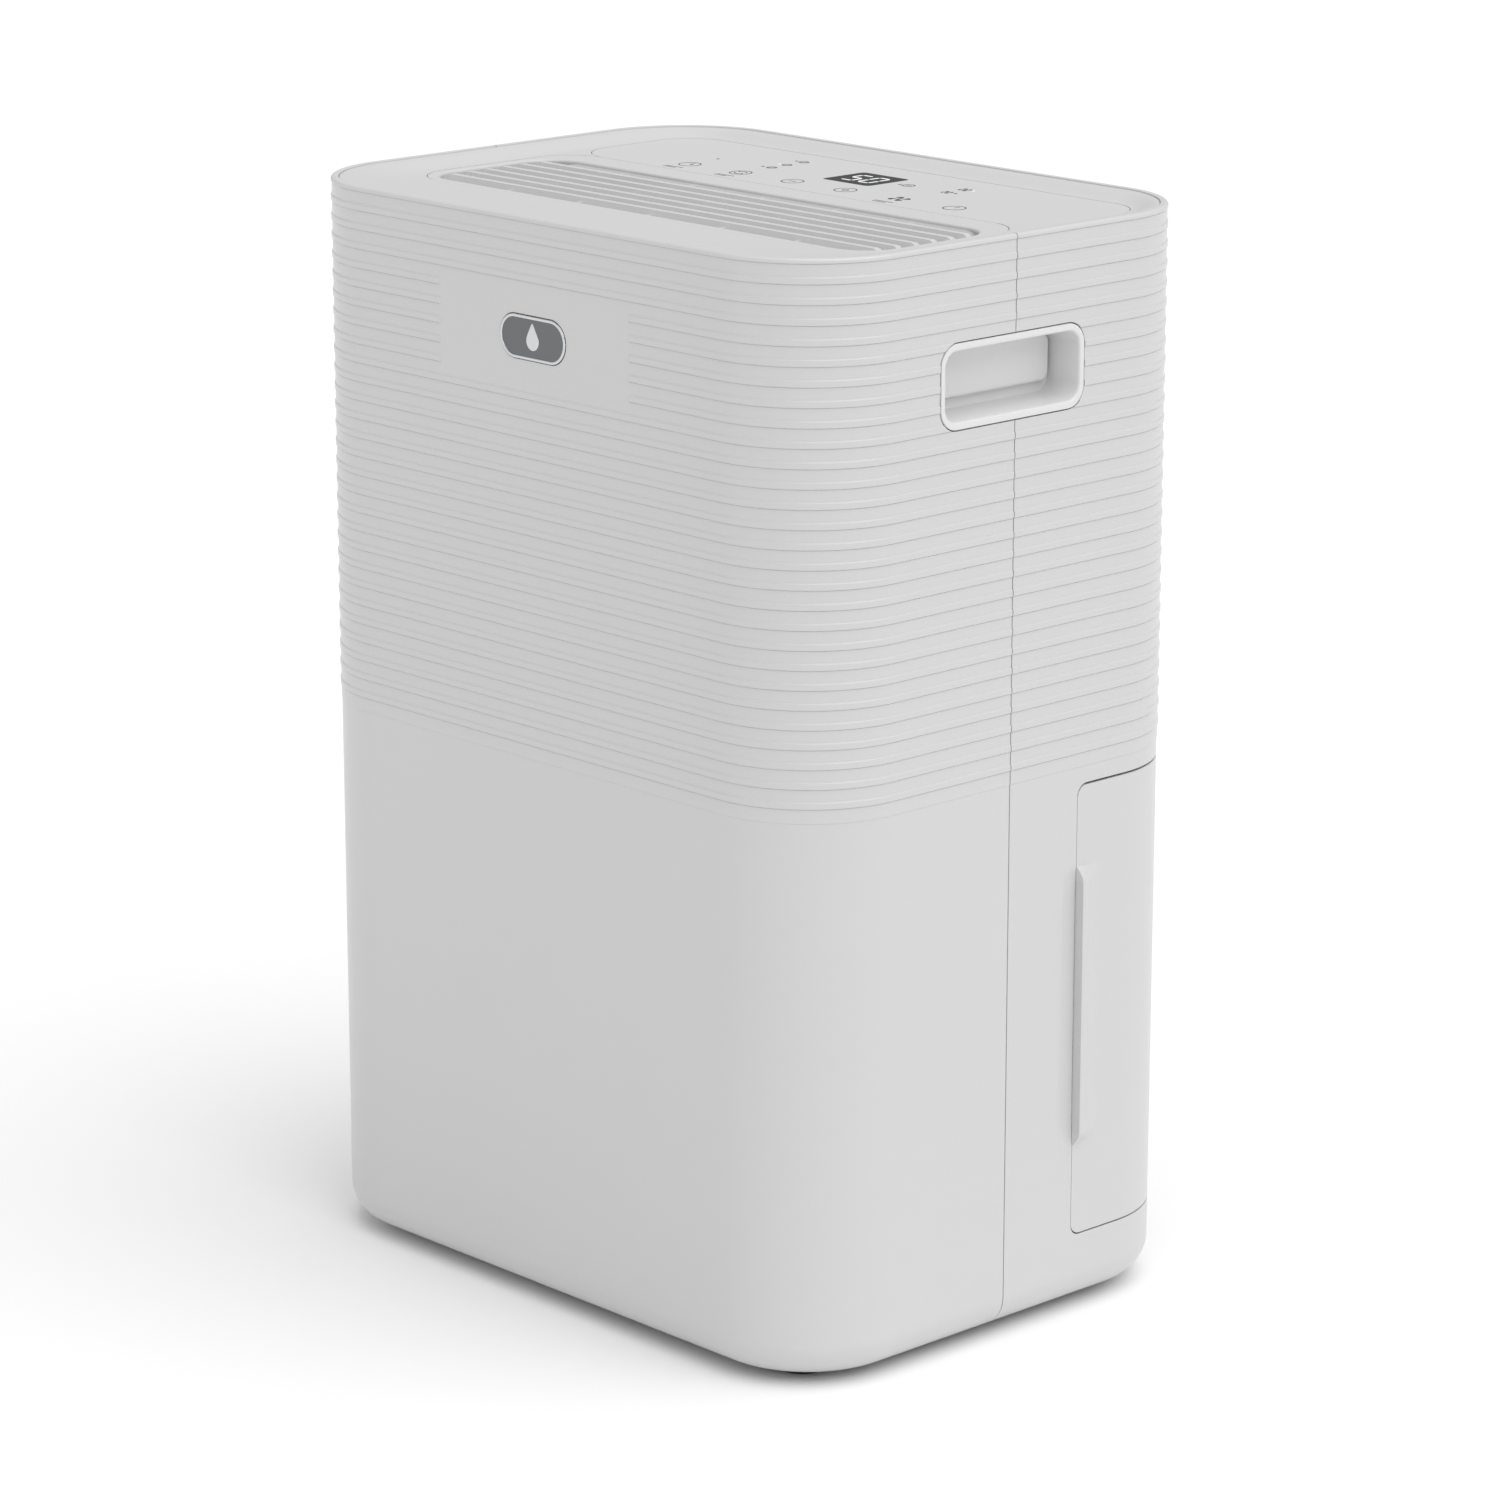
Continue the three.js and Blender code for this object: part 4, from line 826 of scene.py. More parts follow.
def slat(y0, y1, top):
    """A slat leaning forward, with a rounded top; both ends bend down before the wall of the mouth."""
    half = mouth_half((y0 + y1) / 2)
    stations = [(half + 1, DIP), (half - BEND_END, DIP)]
    for t in (0.92, 0.8, 0.6, 0.4, 0.2, 0):
        x = half - BEND_START + (BEND_START - BEND_END) * t
        stations.append((x, DIP * (1 - sqrt(1 - t * t))))
    stations += [(-x, dip) for x, dip in reversed(stations)]
    low = OUTLET_Z[0] + 0.4
    rings = []
    for x, dip in stations:
        crown = top - dip
        back = SLAT_LEAN * (crown - 0.5 - low)
        section = [(y0 - back, low), (y1 - back, low)]
        section += profile(crown, (y1, -0.5), (y1 - 0.15, -0.15), (y1 - 0.5, 0), (y0 + 0.5, 0))
        section += profile(crown, (y0 + 0.15, -0.15), (y0, -0.5))
        rings.append([(x, y, z) for y, z in section])
    return loft(rings)


top_cover()
control_panel()
panel_marks()
outlet_grille()

# ---- water tank


def grip(side):
    """The raised edge that is pulled: steep in front, crest, soft slope behind, round ends."""
    wall = HALF_X - LOWER_INSET
    proud = GRIP_X - wall
    z0, z1 = GRIP_Z
    run = 7.0
    stops = [k / 8 for k in range(9)]
    levels = [(z0 + run * t, sin(t * pi / 2)) for t in stops]
    levels += [(z1 - run * t, sin(t * pi / 2)) for t in reversed(stops)]
    rings = []
    for z, scale in levels:
        p = proud * scale
        section = [
            (-1.2, 0.05), (p - 0.3, 0.05), (p - 0.08, 0.13), (p, 0.4), (p - 0.04, 1.6), (p * 0.93, 2.9),
            (p * 0.72, 4.6), (p * 0.44, 7), (p * 0.2, 10), (p * 0.05, 14), (-0.06, 18), (-1.2, 18),
        ]
        rings.append([(side * (wall + min(u, p)), TANK_Y0 + v, z) for u, v in section])
    return loft(rings)


def tank_panel():
    low, high = TANK_Z[0] - 5, TANK_Z[1] + 5
    outer = [(LOWER_INSET, low), (LOWER_INSET, high), (LOWER_INSET + WALL, high), (LOWER_INSET + WALL, low)]
    skin = loft([plan_ring(inset, z) for inset, z in outer], around=True)
    skin = keep(skin, prism(tank_outline(-0.2, -0.55, 0, TANK_R), "x", *THROUGH_SIDES))
    round_edges(skin, 0.3, lambda p: abs(p.x) > HALF_X - LOWER_INSET - 0.05 or p.y > 0)
    skin = join(skin, grip(1), grip(-1))
    present(skin, "tank_panel_skin", "shell", "tank", "tank_panel")


def tank_ring(node, grow, z, less=0):
    """A node's plan grown sideways, with small front corners and large rear ones."""
    (x0, x1), (y0, y1), _ = span(node)
    front_r = max(TUB_FRONT_R - less + grow, 0.5)
    outline = rounded(
        x0 - grow, x1 + grow, y0 - grow, y1 + grow, front_r, 14, TUB_REAR_R - less + grow)
    return [(x, y, z) for x, y in outline]


def tub():
    z0, z1 = span("tank_tub")[2]
    t = 2
    rows = profile(z0, (-3.5, 0), (-1.2, 0.8), (-0.3, 2.4), (0, 5))
    rows += profile(z1, (0, -9), (-0.6, -8), (-0.6, -4), (0, -3), (0, -0.4), (-0.4, 0), (-t + 0.4, 0))
    rows += profile(z1, (-t, -0.4), (-t - 0.6, -4), (-t - 0.6, -8), (-t, -9.5))
    rows += profile(z0, (-t, 6), (-t - 1, 3.2), (-t - 3.5, t))
    present(loft([tank_ring("tank_tub", *row) for row in rows]), "tank_tub_skin", "tank", "tank", "tank_tub")


def lid_plate(grow, low, high, e=0.3):
    """A plate of the lid's outline, grown sideways, with its edges rounded by e."""
    return loft([tank_ring("tank_lid", grow - inset, z, 0.5) for inset, z in edge_levels(low, high, e)])


def tank_lid():
    z1 = span("tank_tub")[2][1] + 0.3
    top = z1 + 2.3
    bail_y, bail_z = joint_place("bail_swing")
    float_y, float_z = joint_place("float_swing")
    lid = join(lid_plate(0, z1, top, 0.6), lid_plate(-14, top - 1, top + 1.1, 0.5))
    lid = join(lid, cut(lid_plate(-2.2, z1 - 5, z1 + 0.6), lid_plate(-4.2, z1 - 6, z1)))
    for side in (1, -1):
        x = side * LUG_X
        lid = join(lid, block(x - 3, x + 3, bail_y - 7, bail_y + 7, top - 1, bail_z + 6, 0.8, 5.9, "x", 8))
        x = side * EAR_X
        ear = block(
            x - 1.5, x + 1.5, float_y - 5, float_y + 5, float_z - 5, z1 + 1, 0.4, 3, "x", 6)
        lid = join(lid, ear)
    lid = cut(lid, block(-20, 20, DRIP_Y - 8, DRIP_Y + 22, 150, 240, 0.5, 8, "z", 10))
    lid = cut(lid, rod("x", bail_y, bail_z, 3.1, -150, 150, 32), rod("x", float_y, float_z, 2.3, -40, 40, 32))
    present(lid, "tank_lid_skin", "inner", "tank", "tank_lid")


def joint_place(name):
    """(y, z) of a hinge's axis in millimetres."""
    joint = next(j for j in frame["joints"] if j["name"] == name)
    return joint["pos_m"][1] / MM, joint["pos_m"][2] / MM


def carrying_handle():
    y, z = joint_place("bail_swing")
    _, (_, end), _ = span("tank_handle")
    handle = block(-141.5, 141.5, end - 12, end, z - 4, z + 4, 1.6, 3.9, "x", 10)
    for side in (1, -1):
        x = side * ARM_X
        arm = block(x - 2.5, x + 2.5, y, end - 8, z - 4, z + 4, 1.0)
        eye = drum("x", y, z, profile(x, (4.2, -2.5), (5, -1.9), (5, 1.9), (4.2, 2.5)))
        pin = rod("x", y, z, 2.6, *sorted((x, side * 147)))
        handle = join(handle, arm, eye, pin)
    present(handle, "carrying_handle", "inner", "bail", "tank_handle")
    ribs = []
    for x in range(-40, 41, 8):
        ribs.append(block(x - 2.2, x + 2.2, end - 11, end - 1, z - 4.5, z + 4.5, 0.9, 4, "x", 8))
    grips = keep(merge(*ribs), block(-60, 60, end - 12, end, z - 4.9, z + 4.9, 0.5))
    present(grips, "handle_grip_ribs", "inner", "bail")


def float_lever():
    y, z = joint_place("float_swing")
    hub = drum("x", y, z, [(3.4, -23.5), (4, -23), (4, 23), (3.4, 23.5)])
    pin = drum("x", y, z, [(1.5, -27), (1.9, -26.6), (1.9, 26.6), (1.5, 27)], 32)
    arm = block(-6, 6, y, y + 27, z - 3, z + 2, 0.6)
    neck = block(-6, 6, y + 23, y + 27, z - 8, z, 0.6)
    present(join(hub, pin, arm, neck), "float_lever", "inner", "float", "tank_float")
    bob = block(-20, 20, y + 22, y + 56, z - 21, z - 4, 2.2, 5, "z", 10)
    present(bob, "float_bob", "foam", "float")


tank_panel()
tub()
tank_lid()
carrying_handle()
float_lever()

# ---- air inlet and filter


def inlet_grille():
    """Louvred cover whose bars run on from the housing's ribs."""
    (x0, x1), (y0, y1), (z0, z1) = span("inlet_grille")
    frame_pad = pad(x0, x1, z0, z1, 2.6, "y", [(0, y0), (0, y1 - 0.6), (0.18, y1 - 0.18), (0.6, y1)], 8)
    body = cut(frame_pad, block(x0 + 5, x1 - 5, 60, 200, z0 + 4, z1 - 4, 0.5, 2, "y", 6))
    for rib in range(RIB_COUNT):
        z = RIB_BASE_Z + rib * RIB_PITCH
        if z0 + 5 < z < z1 - 5 - RIB_HEIGHT:
            body = join(body, louvre(x0 + 4, x1 - 4, y0 + 0.5, y1 - 0.25, z))
    for x in (-76, -38, 0, 38, 76):
        body = join(body, block(x - 1.2, x + 1.2, y0, y1 - 1.6, z0 + 2, z1 - 2, 0.3))
    body = join(body, block(-26, 26, y0 + 1.5, y1 - 0.05, z1 - 17, z1 - 3, 0.5, 6.5, "y", 10))
    levels = profile(y1, (1.2, -2.6), (0.3, -2.1), (0, -1.2), (0, 5))
    body = cut(body, pad(-23, 23, z1 - 15, z1 - 6, 4.4, "y", levels, 10))
    present(body, "inlet_grille_skin", "shell", "inlet", "inlet_grille")


def louvre(x0, x1, y0, y1, z):
    """A bar with a rib's face, leaning back and down behind it."""
    top = z + RIB_HEIGHT
    section = [
        (y0, z + 1.8), (y1 - 1.2, z), (y1 - 0.2, z), (y1, z + 0.2), (y1, top - 0.25), (y1 - 0.2, top),
        (y1 - 1.2, top), (y0, top + 0.4),
    ]
    return loft([[(x, u, v) for u, v in section] for x in (x0, x1)])


def air_filter():
    (x0, x1), (y0, y1), (z0, z1) = span("filter_frame")
    body = pad(x0, x1, z0, z1, 2, "y", edge_levels(y0, y1, 0.4), 6)
    cell_x = (x1 - x0 - 6) / 3
    cell_z = (z1 - z0 - 6) / 2
    for i in range(6):
        u = x0 + 3 + i // 2 * cell_x
        w = z0 + 3 + i % 2 * cell_z
        body = cut(body, block(u + 2, u + cell_x - 2, 90, 150, w + 2, w + cell_z - 2, 0.5, 2.5, "y", 6))
    present(body, "filter_frame_skin", "dark", "inlet", "filter_frame")
    (x0, x1), (y0, y1), (z0, z1) = span("filter_mesh")
    pitch, thick = 1.9, 0.42
    middle = (y0 + y1) / 2
    strands = []
    for i in range(int((x1 - x0) / pitch) + 1):
        x = x0 + i * pitch
        strands.append((x, x + thick, middle - thick, middle, z0, z1))
    for i in range(int((z1 - z0) / pitch) + 1):
        z = z0 + i * pitch
        strands.append((x0, x1, middle + 0.01, middle + thick, z, z + thick))
    present(boxes(strands), "filter_net", "net", "inlet", "filter_mesh")


inlet_grille()
air_filter()

# ---- small fittings


def feet():
    for node in (f"foot_{i}" for i in range(1, 5)):
        x, y, r, z0, z1 = round_part(node, "z")
        levels = profile(z0, (r - 4.5, 0.5), (r - 4, 0), (r - 1.4, 0), (r - 0.5, 0.3), (r, 1.2))
        present(drum("z", x, y, levels + [(r, z1)], 56), node + "_pad", "rubber", node=node)


def screws():
    """Round heads with a cross recess."""
    for node in SCREW_NODES:
        x, z, r, y0, y1 = round_part(node, "y")
        levels = profile(y1, (1.7, -2.3), (r, -2.3), (r, -0.7), (r - 0.5, -0.2), (r - 1.6, 0))
        head = drum("y", x, z, [(1.7, y0)] + levels, 40)
        for a, b in ((2.1, 0.45), (0.45, 2.1)):
            head = cut(head, block(x - a, x + a, y1 - 1.1, y1 + 2, z - b, z + b, 0.05))
        present(head, node + "_head", "steel", node=node)


def drain():
    """A port with a stepped bore, and the rubber plug that sits in it."""
    x, z, r, y0, y1 = round_part("drain_port", "y")
    port = drum("y", x, z, [(r, y0)] + profile(y1, (r, -0.5), (r - 0.15, -0.15), (r - 0.5, 0)), 64)
    bore = [(5.6, THROUGH_REAR[0]), (5.6, DRAIN_STEP_Y), (8.2, DRAIN_STEP_Y), (8.2, y1 - 0.3)]
    bore += [(8.6, y1 + 0.1), (8.6, THROUGH_REAR[1])]
    port = cut(port, drum("y", x, z, bore, 64))
    present(port, "drain_port_skin", "inner", node="drain_port")
    y0, y1 = span("drain_plug")[1]
    stop = DRAIN_STEP_Y + 0.35
    levels = [(4.8, y0), (5.2, y0 + 0.4), (5.2, stop), (7.8, stop), (7.8, y1 - 3), (7.3, y1 - 2.5)]
    plug = join(drum("y", x, z, levels, 64), block(x - 5.5, x + 5.5, y1 - 4, y1, z - 1.3, z + 1.3, 0.5))
    present(plug, "drain_plug_skin", "rubber", "plug", "drain_plug")


def gland():
    x, z, _, y0, y1 = round_part("cord_gland", "y")
    barrel = drum("y", x, z, [(6.8, y0), (6.8, y1 - 0.8), (6.2, y1)], 56)
    nut = drum("y", x, z, profile(y0, (7.8, 0.1), (8.4, 0.7), (8.4, 3.4), (7.8, 4.1)), 6)
    bore = [(3.4, THROUGH_REAR[0]), (3.4, y1 - 0.8), (4.2, y1 + 0.1), (4.2, THROUGH_REAR[1])]
    body = cut(join(barrel, nut), drum("y", x, z, bore))
    present(body, "cord_gland_skin", "dark", node="cord_gland")


def base_tray():
    """Floor pan: pressed pockets and cooling slots on its underside, upstand inside."""
    (x0, x1), (y0, y1), (z0, z1) = span("base_tray")
    half_x, half_y, r = HALF_X - TRAY_INSET, HALF_Y - TRAY_INSET, CORNER_R - TRAY_INSET
    floor = pad(-half_x, half_x, -half_y, half_y, r, "z", profile(z0, (0.5, 0), (0, 0.5), (0, 4.4)), 16)
    flange = pad(x0, x1, y0, y1, TRAY_R, "z", profile(z0, (0, 3.6), (0, 4.5)), 16)
    outer = pad(x0, x1, y0, y1, TRAY_R, "z", [(0, z0 + 3.7), (0, z1)], 16)
    hollow = pad(x0 + 2, x1 - 2, y0 + 2, y1 - 2, TRAY_R - 2, "z", [(0, z0 + 4.5), (0, z1 + 5)], 16)
    pan = join(floor, cut(join(flange, outer), hollow))
    pocket = profile(z0, (-1.2, -1), (0, 0.2), (0.8, 1.2))
    for x, wide in ((-92, 38), (0, 40), (92, 38)):
        for y in (-40, 40):
            pan = cut(pan, pad(x - wide, x + wide, y - 27, y + 27, 10, "z", pocket, 10))
    for x in range(-36, 37, 9):
        pan = cut(pan, block(x - 2, x + 2, -56, -24, z0 - 3, z1 + 3, 0.5, 1.9, "z", 8))
    present(pan, "base_pan", "inner", node="base_tray")


feet()
screws()
drain()
gland()
base_tray()

# ---- inner works


def return_bend(x, y, z, reach, r):
    """Half a ring of tube lying level, both ends turned toward +X."""
    rings = []
    for i in range(13):
        turn = pi * i / 12
        ring = []
        for k in range(16):
            d, w = polar(r, 2 * pi * k / 16, reach, z)
            ring.append((x - d * sin(turn), y + d * cos(turn), w))
        rings.append(ring)
    return loft(rings)


def coil(node):
    """A pack of thin fins between end plates, with copper tubes and their return bends."""
    (_, x1), (y0, y1), (z0, z1) = span(node)
    middle = (y0 + y1) / 2
    pitch = 2.4
    count = int(2 * (x1 - 3) / pitch)
    places = [pitch * (i - count / 2) for i in range(count + 1)]
    fins = boxes([(x, x + 0.28, y0 + 1, y1 - 1, z0 + 2, z1 - 2) for x in places])
    plates = [block(x - 0.8, x + 0.8, y0, y1, z0, z1, 0.3) for x in (0.9 - x1, x1 - 0.9)]
    present(merge(fins, *plates), node + "_fins", "fins", node=node)
    tubes = []
    for i in range(7):
        z = z0 + 20 + 24 * i
        tubes.append(return_bend(-x1, middle, z, 6, 2.8))
        for y in (middle - 6, middle + 6):
            tubes.append(drum("x", y, z, [(2.8, -x1 - 0.2), (2.8, x1 + 0.2), (2.3, x1 + 0.7)], 20))
    present(merge(*tubes), node + "_tubes", "copper")


def impeller():
    """Centrifugal fan wheel: cone-shaped back, curved blades and a front ring."""
    _, z, r, y0, y1 = round_part("fan_impeller", "y")
    levels = profile(
        y0, (r - 0.8, 0), (r, 0.8), (r, 2), (r - 0.6, 2.6), (40, 3.2), (22, 8), (13, 16), (11, 24),
        (11, 31.4), (10.2, 32.2))
    back = cut(drum("y", 0, z, levels, 72), rod("y", 0, z, 3.2, -60, 60, 24))
    ring = drum("y", 0, z, profile(y1, (r - 0.6, -3), (r, -2.4), (r, -0.6), (r - 0.6, 0)), 72)
    ring = cut(ring, rod("y", 0, z, r - 12, y1 - 9, y1 + 5, 72))
    count = 32
    blades = [prism(blade_outline(z, r, 360 * i / count), "y", y0 + 2, y1 - 1.5) for i in range(count)]
    present(merge(back, ring, *blades), "fan_wheel", "dark", "fan", "fan_impeller")
    y0, y1 = span("fan_shaft")[1]
    shaft = drum("y", 0, z, [(2.5, y0), (3, y0 + 0.5), (3, y1 - 0.5), (2.5, y1)], 32)
    flat = block(-5, 5, y1 - 16, y1 + 2, z + 2.4, z + 6, 0.1)
    present(cut(shaft, flat), "fan_shaft_rod", "steel", "fan", "fan_shaft")


def blade_outline(z, r, turn):
    """One forward-curved blade, seen along the shaft."""
    half = 0.55
    steps = [i / 6 for i in range(7)]
    face = [(r - 13 + 12 * t, radians(turn + 9 * t * t)) for t in steps]
    left = [polar(d, a - half / d, 0, z) for d, a in face]
    return left + [polar(d, a + half / d, 0, z) for d, a in reversed(face)]


def fan_motor():
    """Round motor with a recessed waist, vent slots in its end, and two mounting feet."""
    (_, x1), (y0, y1), (z0, z1) = span("fan_motor")
    z = centre("fan_motor")[2]
    r = (z1 - z0) / 2
    levels = profile(
        y0, (20, 0), (22, 1), (22, 3.2), (34, 3.8), (38.4, 5), (r, 8), (r, 17), (r - 1.4, 17.5),
        (r - 1.4, 24), (r, 24.5), (r, 34), (r - 1.2, 37.6), (r - 4, 39))
    can = drum("y", 0, z, levels, 72)
    for k in range(12):
        can = cut(can, rod("y", *polar(28, radians(30 * k + 15), 0, z), 2.6, y0 - 2, y0 + 9, 20))
    can = cut(can, rod("y", 0, z, 3.6, y0 - 5, y1 + 5, 32))
    for side in (-1, 1):
        x = side * (x1 - 8)
        foot = block(x - 7.9, x + 7.9, y0 + 21, y1, z - 7, z + 7, 1, 2, "y", 6)
        bolt = drum("y", x + side * 3.4, z, profile(y0, (3.4, 18), (3.6, 18.4), (3.6, 21.5)), 6)
        can = join(can, foot, bolt)
    present(can, "fan_motor_body", "paint", node="fan_motor")


def scroll_outline(inset, top, steps=60):
    """Spiral round the fan wheel that opens into a straight duct on the left."""
    left = span("fan_scroll")[0][0]
    middle = centre("fan_impeller")[2]
    small = -left - 26
    points = []
    for i in range(steps + 1):
        angle = 2 * pi / 3 - i / steps * 5 * pi / 3
        points.append(polar(small + 26 * i / steps - inset, angle, 0, middle))
    return points + [(inset + left, top), (small * cos(2 * pi / 3) - inset, top)]


def fan_scroll():
    _, (y0, y1), (z0, z1) = span("fan_scroll")
    z = centre("fan_impeller")[2]
    body = prism(scroll_outline(0, z1), "y", y0, y1)
    round_edges(body, 1.6, lambda p: min(abs(p.y - y0), abs(p.y - y1)) < 0.01, 3)
    body = join(body, block(-30, 30, y0 + 6, y1 - 6, z0, z0 + 11, 0.6))
    body = cut(body, prism(scroll_outline(2.2, z1 + 8), "y", y0 + 2.2, y1 - 2.2))
    mouth = drum("y", 0, z, profile(y1, (58, -6), (58, -2), (59.5, -0.8), (62.5, 0.2), (64, 4)), 80)
    body = cut(body, mouth, rod("y", 0, z, 8, y0 - 5, y0 + 5, 40))
    present(body, "fan_scroll_case", "inner", node="fan_scroll")


def stadium(u0, v0, u1, v1, r, steps=12):
    """Outline of a bar with round ends."""
    facing = atan2(v1 - v0, u1 - u0)
    points = []
    for u, v, start in ((u1, v1, facing - pi / 2), (u0, v0, facing + pi / 2)):
        points += [polar(r, start + pi * k / steps, u, v) for k in range(steps + 1)]
    return points


def compressor():
    """Welded rotary compressor on three legs, with its terminal cover on top."""
    _, (y0, y1), (z0, z1) = span("compressor")
    grommets = [f"compressor_grommet_{i}" for i in range(1, 4)]
    x = centre(grommets[0])[0] + 54
    y = (y0 + y1) / 2
    r = (y1 - y0) / 2 - 2
    top = z1 - 10
    levels = profile(
        z0, (r - 28, 0.2), (r - 12, 2), (r - 4, 8), (r, 16), (r, 84), (r + 2, 85), (r + 2, 92), (r, 93))
    levels += profile(
        top, (r, -32), (r - 1.4, -24), (r - 6, -14), (r - 15, -6), (r - 28, -1.2), (4, 0))
    can = drum("z", x, y, levels, 72)
    for node in grommets:
        u, v, _, low, high = round_part(node, "z")
        leg = prism(stadium(x, y, u, v, 10.5), "z", z0, z0 + 2.6)
        washer = rod("z", u, v, 8, z0 + 2.4, z0 + 3.6, 32)
        can = join(can, leg, washer, drum("z", u, v, profile(z0, (5.4, 3.4), (5.4, 7), (4.8, 7.6)), 6))
        levels = [(8.4, low), (9, low + 0.6)]
        levels += profile(high, (9, -6), (7, -4.6), (7, -3.6), (9, -2), (9, -0.5), (8.5, 0))
        present(drum("z", u, v, levels, 40), node + "_body", "rubber", node=node)
    cover = block(x - 13, x + 13, y - 12, y + 12, top - 4, z1, 2, 5, "z", 8)
    can = join(can, cover, rod("z", x, y, 3.6, z1 - 3, z1 - 0.05, 6))
    present(can, "compressor_shell", "paint", node="compressor")


def accumulator():
    """A tall can with domed ends and a groove round its middle."""
    x, y, r, z0, z1 = round_part("accumulator", "z")
    dome = [(3.9, 0), (4.4, 2.4), (8, 3.6), (13.5, 6.5), (17.4, 11), (r, 17)]
    levels = profile(z0, *dome) + [(r, 118), (r - 0.7, 118.6), (r - 0.7, 124.4), (r, 125)]
    levels += [(d, z1 - place) for d, place in reversed(dome)]
    present(drum("z", x, y, levels, 64), "accumulator_can", "paint", node="accumulator")


def run_capacitor():
    """A metal can with a rolled rim, an insulating lid and four tabs."""
    x, y, r, z0, z1 = round_part("run_capacitor", "z")
    levels = profile(z0, (r - 2, 0), (r - 0.6, 0.6), (r - 0.4, 2))
    levels += profile(z1, (r - 0.4, -9), (r, -8), (r, -6.4), (r - 1, -5.4), (r - 2, -5.8), (r - 2.6, -7))
    present(drum("z", x, y, levels, 64), "run_capacitor_can", "fins", node="run_capacitor")
    levels = profile(z1, (r - 2.4, -8), (r - 2.4, -5.6), (r - 4, -5), (6, -4.6))
    present(drum("z", x, y, levels), "run_capacitor_lid", "dark")
    tabs = [block(x + d - 0.4, x + d + 0.4, y - 3, y + 3, z1 - 6, z1, 0.15) for d in (-6, -3, 3, 6)]
    present(merge(*tabs), "run_capacitor_tabs", "steel")


def control_board():
    """Board under the panel: key springs, pin header, chips, display module and socket."""
    (x0, x1), (y0, y1), (z0, z1) = span("control_board")
    board_z = z0 + 6
    top = board_z + 1.6
    board = block(x0, x1, y0, y1, board_z, top, 0.15, 3, "z", 6)
    present(board, "control_board_sheet", "board", node="control_board")
    levels = profile(top, (4.6, -0.1), (4.6, 1.2), (3.4, 2)) + [(3.4, z1 - 2)]
    metal = [drum("z", x, y0 + 6, levels, 32) for x in KEY_X.values()]
    metal += [block(72 + i * 3.4, 73 + i * 3.4, 87, 88, z0 + 1.2, z0 + 5, 0.1) for i in range(5)]
    present(merge(*metal), "control_board_springs", "steel")
    chips = ((-78, -62, 76, 92, 1.8), (-40, -30, 80, 90, 1.4), (44, 56, 66, 74, 1.6))
    dark = [block(*limits, top - 0.1, top + tall, 0.25) for *limits, tall in chips]
    x, y, _ = centre("display_lens")
    dark.append(block(x - 15, x + 15, y - 12.5, y + 12.5, top - 0.5, z1 - 0.2, 0.4))
    socket = block(70, 90, 84, 96, z0, board_z + 0.2, 0.4)
    dark.append(cut(socket, block(71.4, 88.6, 85.4, 94.6, z0 - 2, z0 + 4.4, 0.3)))
    present(merge(*dark), "control_board_parts", "dark")


def power_board():
    """Upright board: relay, driver, transformer, terminals, heat sink and two cans."""
    (x0, _), (y0, y1), (z0, z1) = span("power_board")
    face = x0 + 2

    def piece(near, far, ya, yb, za, zb, *edges):
        return block(face + near, face + far, y0 + ya, y0 + yb, z0 + za, z0 + zb, *edges)

    board = block(x0, face, y0, y1, z0, z1, 0.15, 3, "x", 6)
    present(board, "power_board_sheet", "board", node="power_board")
    deep = y1 - y0
    dark = [
        piece(-0.1, 16, deep - 24, deep - 4, 10, 30, 0.8), piece(-0.1, 3, 6, 34, 12, 42, 0.6),
        piece(2, 21, 10, 30, 17, 37, 2.5, 4), piece(-0.1, 12, 6, 74, 92, 102, 0.6),
    ]
    present(merge(*dark), "power_board_parts", "dark")
    metal = [piece(3, 27, 8, 32, 21, 33, 0.6), piece(-0.1, 3, 44, 54, 70, 88, 0.3)]
    metal += [piece(-0.1, 24, 44 + 3 * i, 45.2 + 3 * i, 70, 88, 0.2) for i in range(4)]
    present(merge(*metal), "power_board_metal", "fins")
    levels = profile(face, (5.4, -0.1), (6, 0.6), (6, 17), (5.4, 17.6))
    cans = [drum("x", y0 + y, z0 + 24, levels, 32) for y in (50, 66)]
    present(merge(*cans), "power_board_cans", "paint")


def sensors():
    """Slotted humidity sensor, and the tank switch with its lever and pins."""
    (x0, x1), (y0, y1), (z0, z1) = span("humidity_sensor")
    x, _, z = centre("humidity_sensor")
    head = drum("y", x, z, profile(y1, (5, -4), (5, -0.5), (4.5, 0)), 40)
    case = join(block(x0, x1, y0, y1 - 3, z0, z1, 0.6, 2, "y", 6), head)
    for w in (z - 2.4, z, z + 2.4):
        case = cut(case, block(x - 3.4, x + 3.4, y1 - 1.6, y1 + 2, w - 0.5, w + 0.5, 0.1))
    present(case, "humidity_sensor_case", "dark", node="humidity_sensor")
    (x0, x1), (y0, y1), (z0, z1) = span("tank_switch")
    case = block(x0, x1, y0 + 1.5, y1, z0, z1 - 4, 0.6)
    lever = block(x0 + 2, x1 - 2, y0, y0 + 0.8, z0 + 8, z1, 0.15)
    pins = [block(x - 0.4, x + 0.4, y0 + 3, y0 + 6, z0, z0 + 2, 0.1) for x in (x0 + 4, x0 + 10, x0 + 16)]
    present(join(case, lever, *pins), "tank_switch_case", "dark", node="tank_switch")


impeller()
fan_motor()
fan_scroll()
coil("evaporator")
coil("condenser")
compressor()
accumulator()
run_capacitor()
control_board()
power_board()
sensors()

# ---- kept CAD nodes

KEPT = {
    "inner": ["bay_liner", "drip_tray", "outlet_plenum"],
    "copper": ["suction_pipe", "discharge_pipe", "capillary_tube"],
}

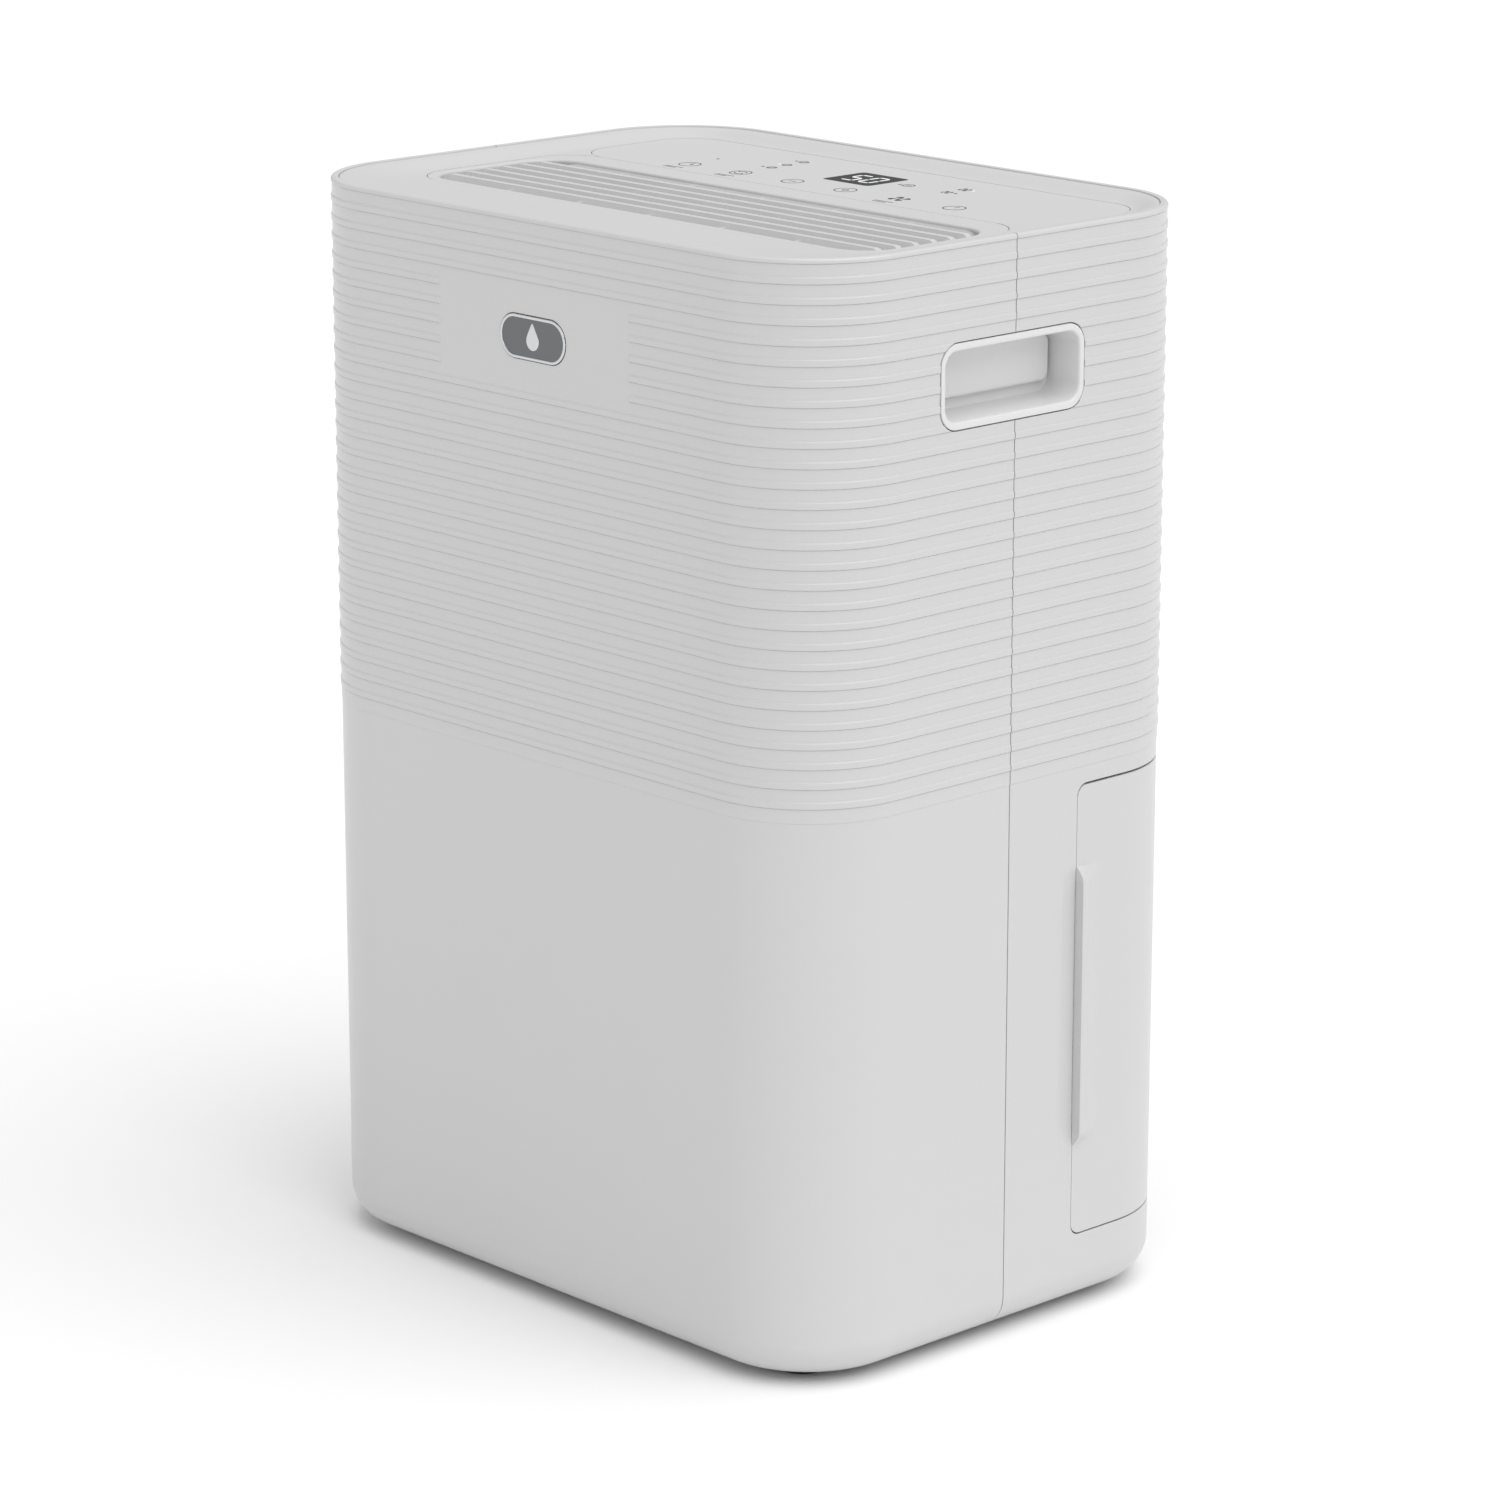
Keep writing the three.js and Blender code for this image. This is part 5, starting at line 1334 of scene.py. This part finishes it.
for look, names in KEPT.items():
    for name in names:
        materials = frame["nodes"][name].data.materials
        materials.clear()
        materials.append(LOOKS[look])

# ---- floor, light, camera

def toward(azimuth, elevation):
    """Unit vector from the object to an azimuth, 0 in front and 90 on the right."""
    flat = cos(elevation)
    return Vector((sin(azimuth) * flat, -cos(azimuth) * flat, sin(elevation)))


def aim(name, data, direction, distance):
    """Puts a camera or a light at a distance from the target, looking at it."""
    obj = bpy.data.objects.new(name, data)
    obj.location = TARGET + direction * distance
    obj.rotation_mode = "QUATERNION"
    obj.rotation_quaternion = (-direction).to_track_quat("-Z", "Y")
    bpy.context.scene.collection.objects.link(obj)
    return obj


def camera():
    data = bpy.data.cameras.new("camera")
    data.lens = LENS
    data.sensor_width = 36
    data.clip_start = 0.05
    data.clip_end = 60
    bpy.context.scene.camera = aim("camera", data, toward(AZIMUTH, ELEVATION), DISTANCE)


def light(name, kind, direction, distance, energy, **settings):
    data = bpy.data.lights.new(name, kind)
    data.energy = energy
    for key, value in settings.items():
        setattr(data, key, value)
    aim(name, data, direction, distance)


def stage():
    """A plain pale floor, even light all round, one soft key light and a weak strip."""
    half = 14
    corners = [(x, y, -0.0001) for x, y in ((-half, -half), (half, -half), (half, half), (-half, half))]
    mesh = bpy.data.meshes.new("floor")
    mesh.from_pydata(corners, [], [(0, 1, 2, 3)])
    floor = bpy.data.objects.new("floor", mesh)
    bpy.context.scene.collection.objects.link(floor)
    paper = surface("floor_paper", (0.95, 0.95, 0.95), 0.9, mottle=0.003, patch_mm=900, relief_mm=0)
    mesh.materials.append(paper)
    world = bpy.data.worlds.new("studio")
    bpy.context.scene.world = world
    world.use_nodes = True
    put(world.node_tree.nodes["Background"], Color=(1, 1, 1, 1), Strength=0.61)
    light("key", "SUN", Vector((0.465, 0.035, 0.885)).normalized(), 4, 1.85, angle=radians(70))
    strip = toward(radians(-17), radians(6))
    light("strip", "AREA", strip, 2.6, 2.2, shape="RECTANGLE", size=0.16, size_y=2.4)
    bpy.context.scene.view_settings.view_transform = "Standard"


camera()
stage()
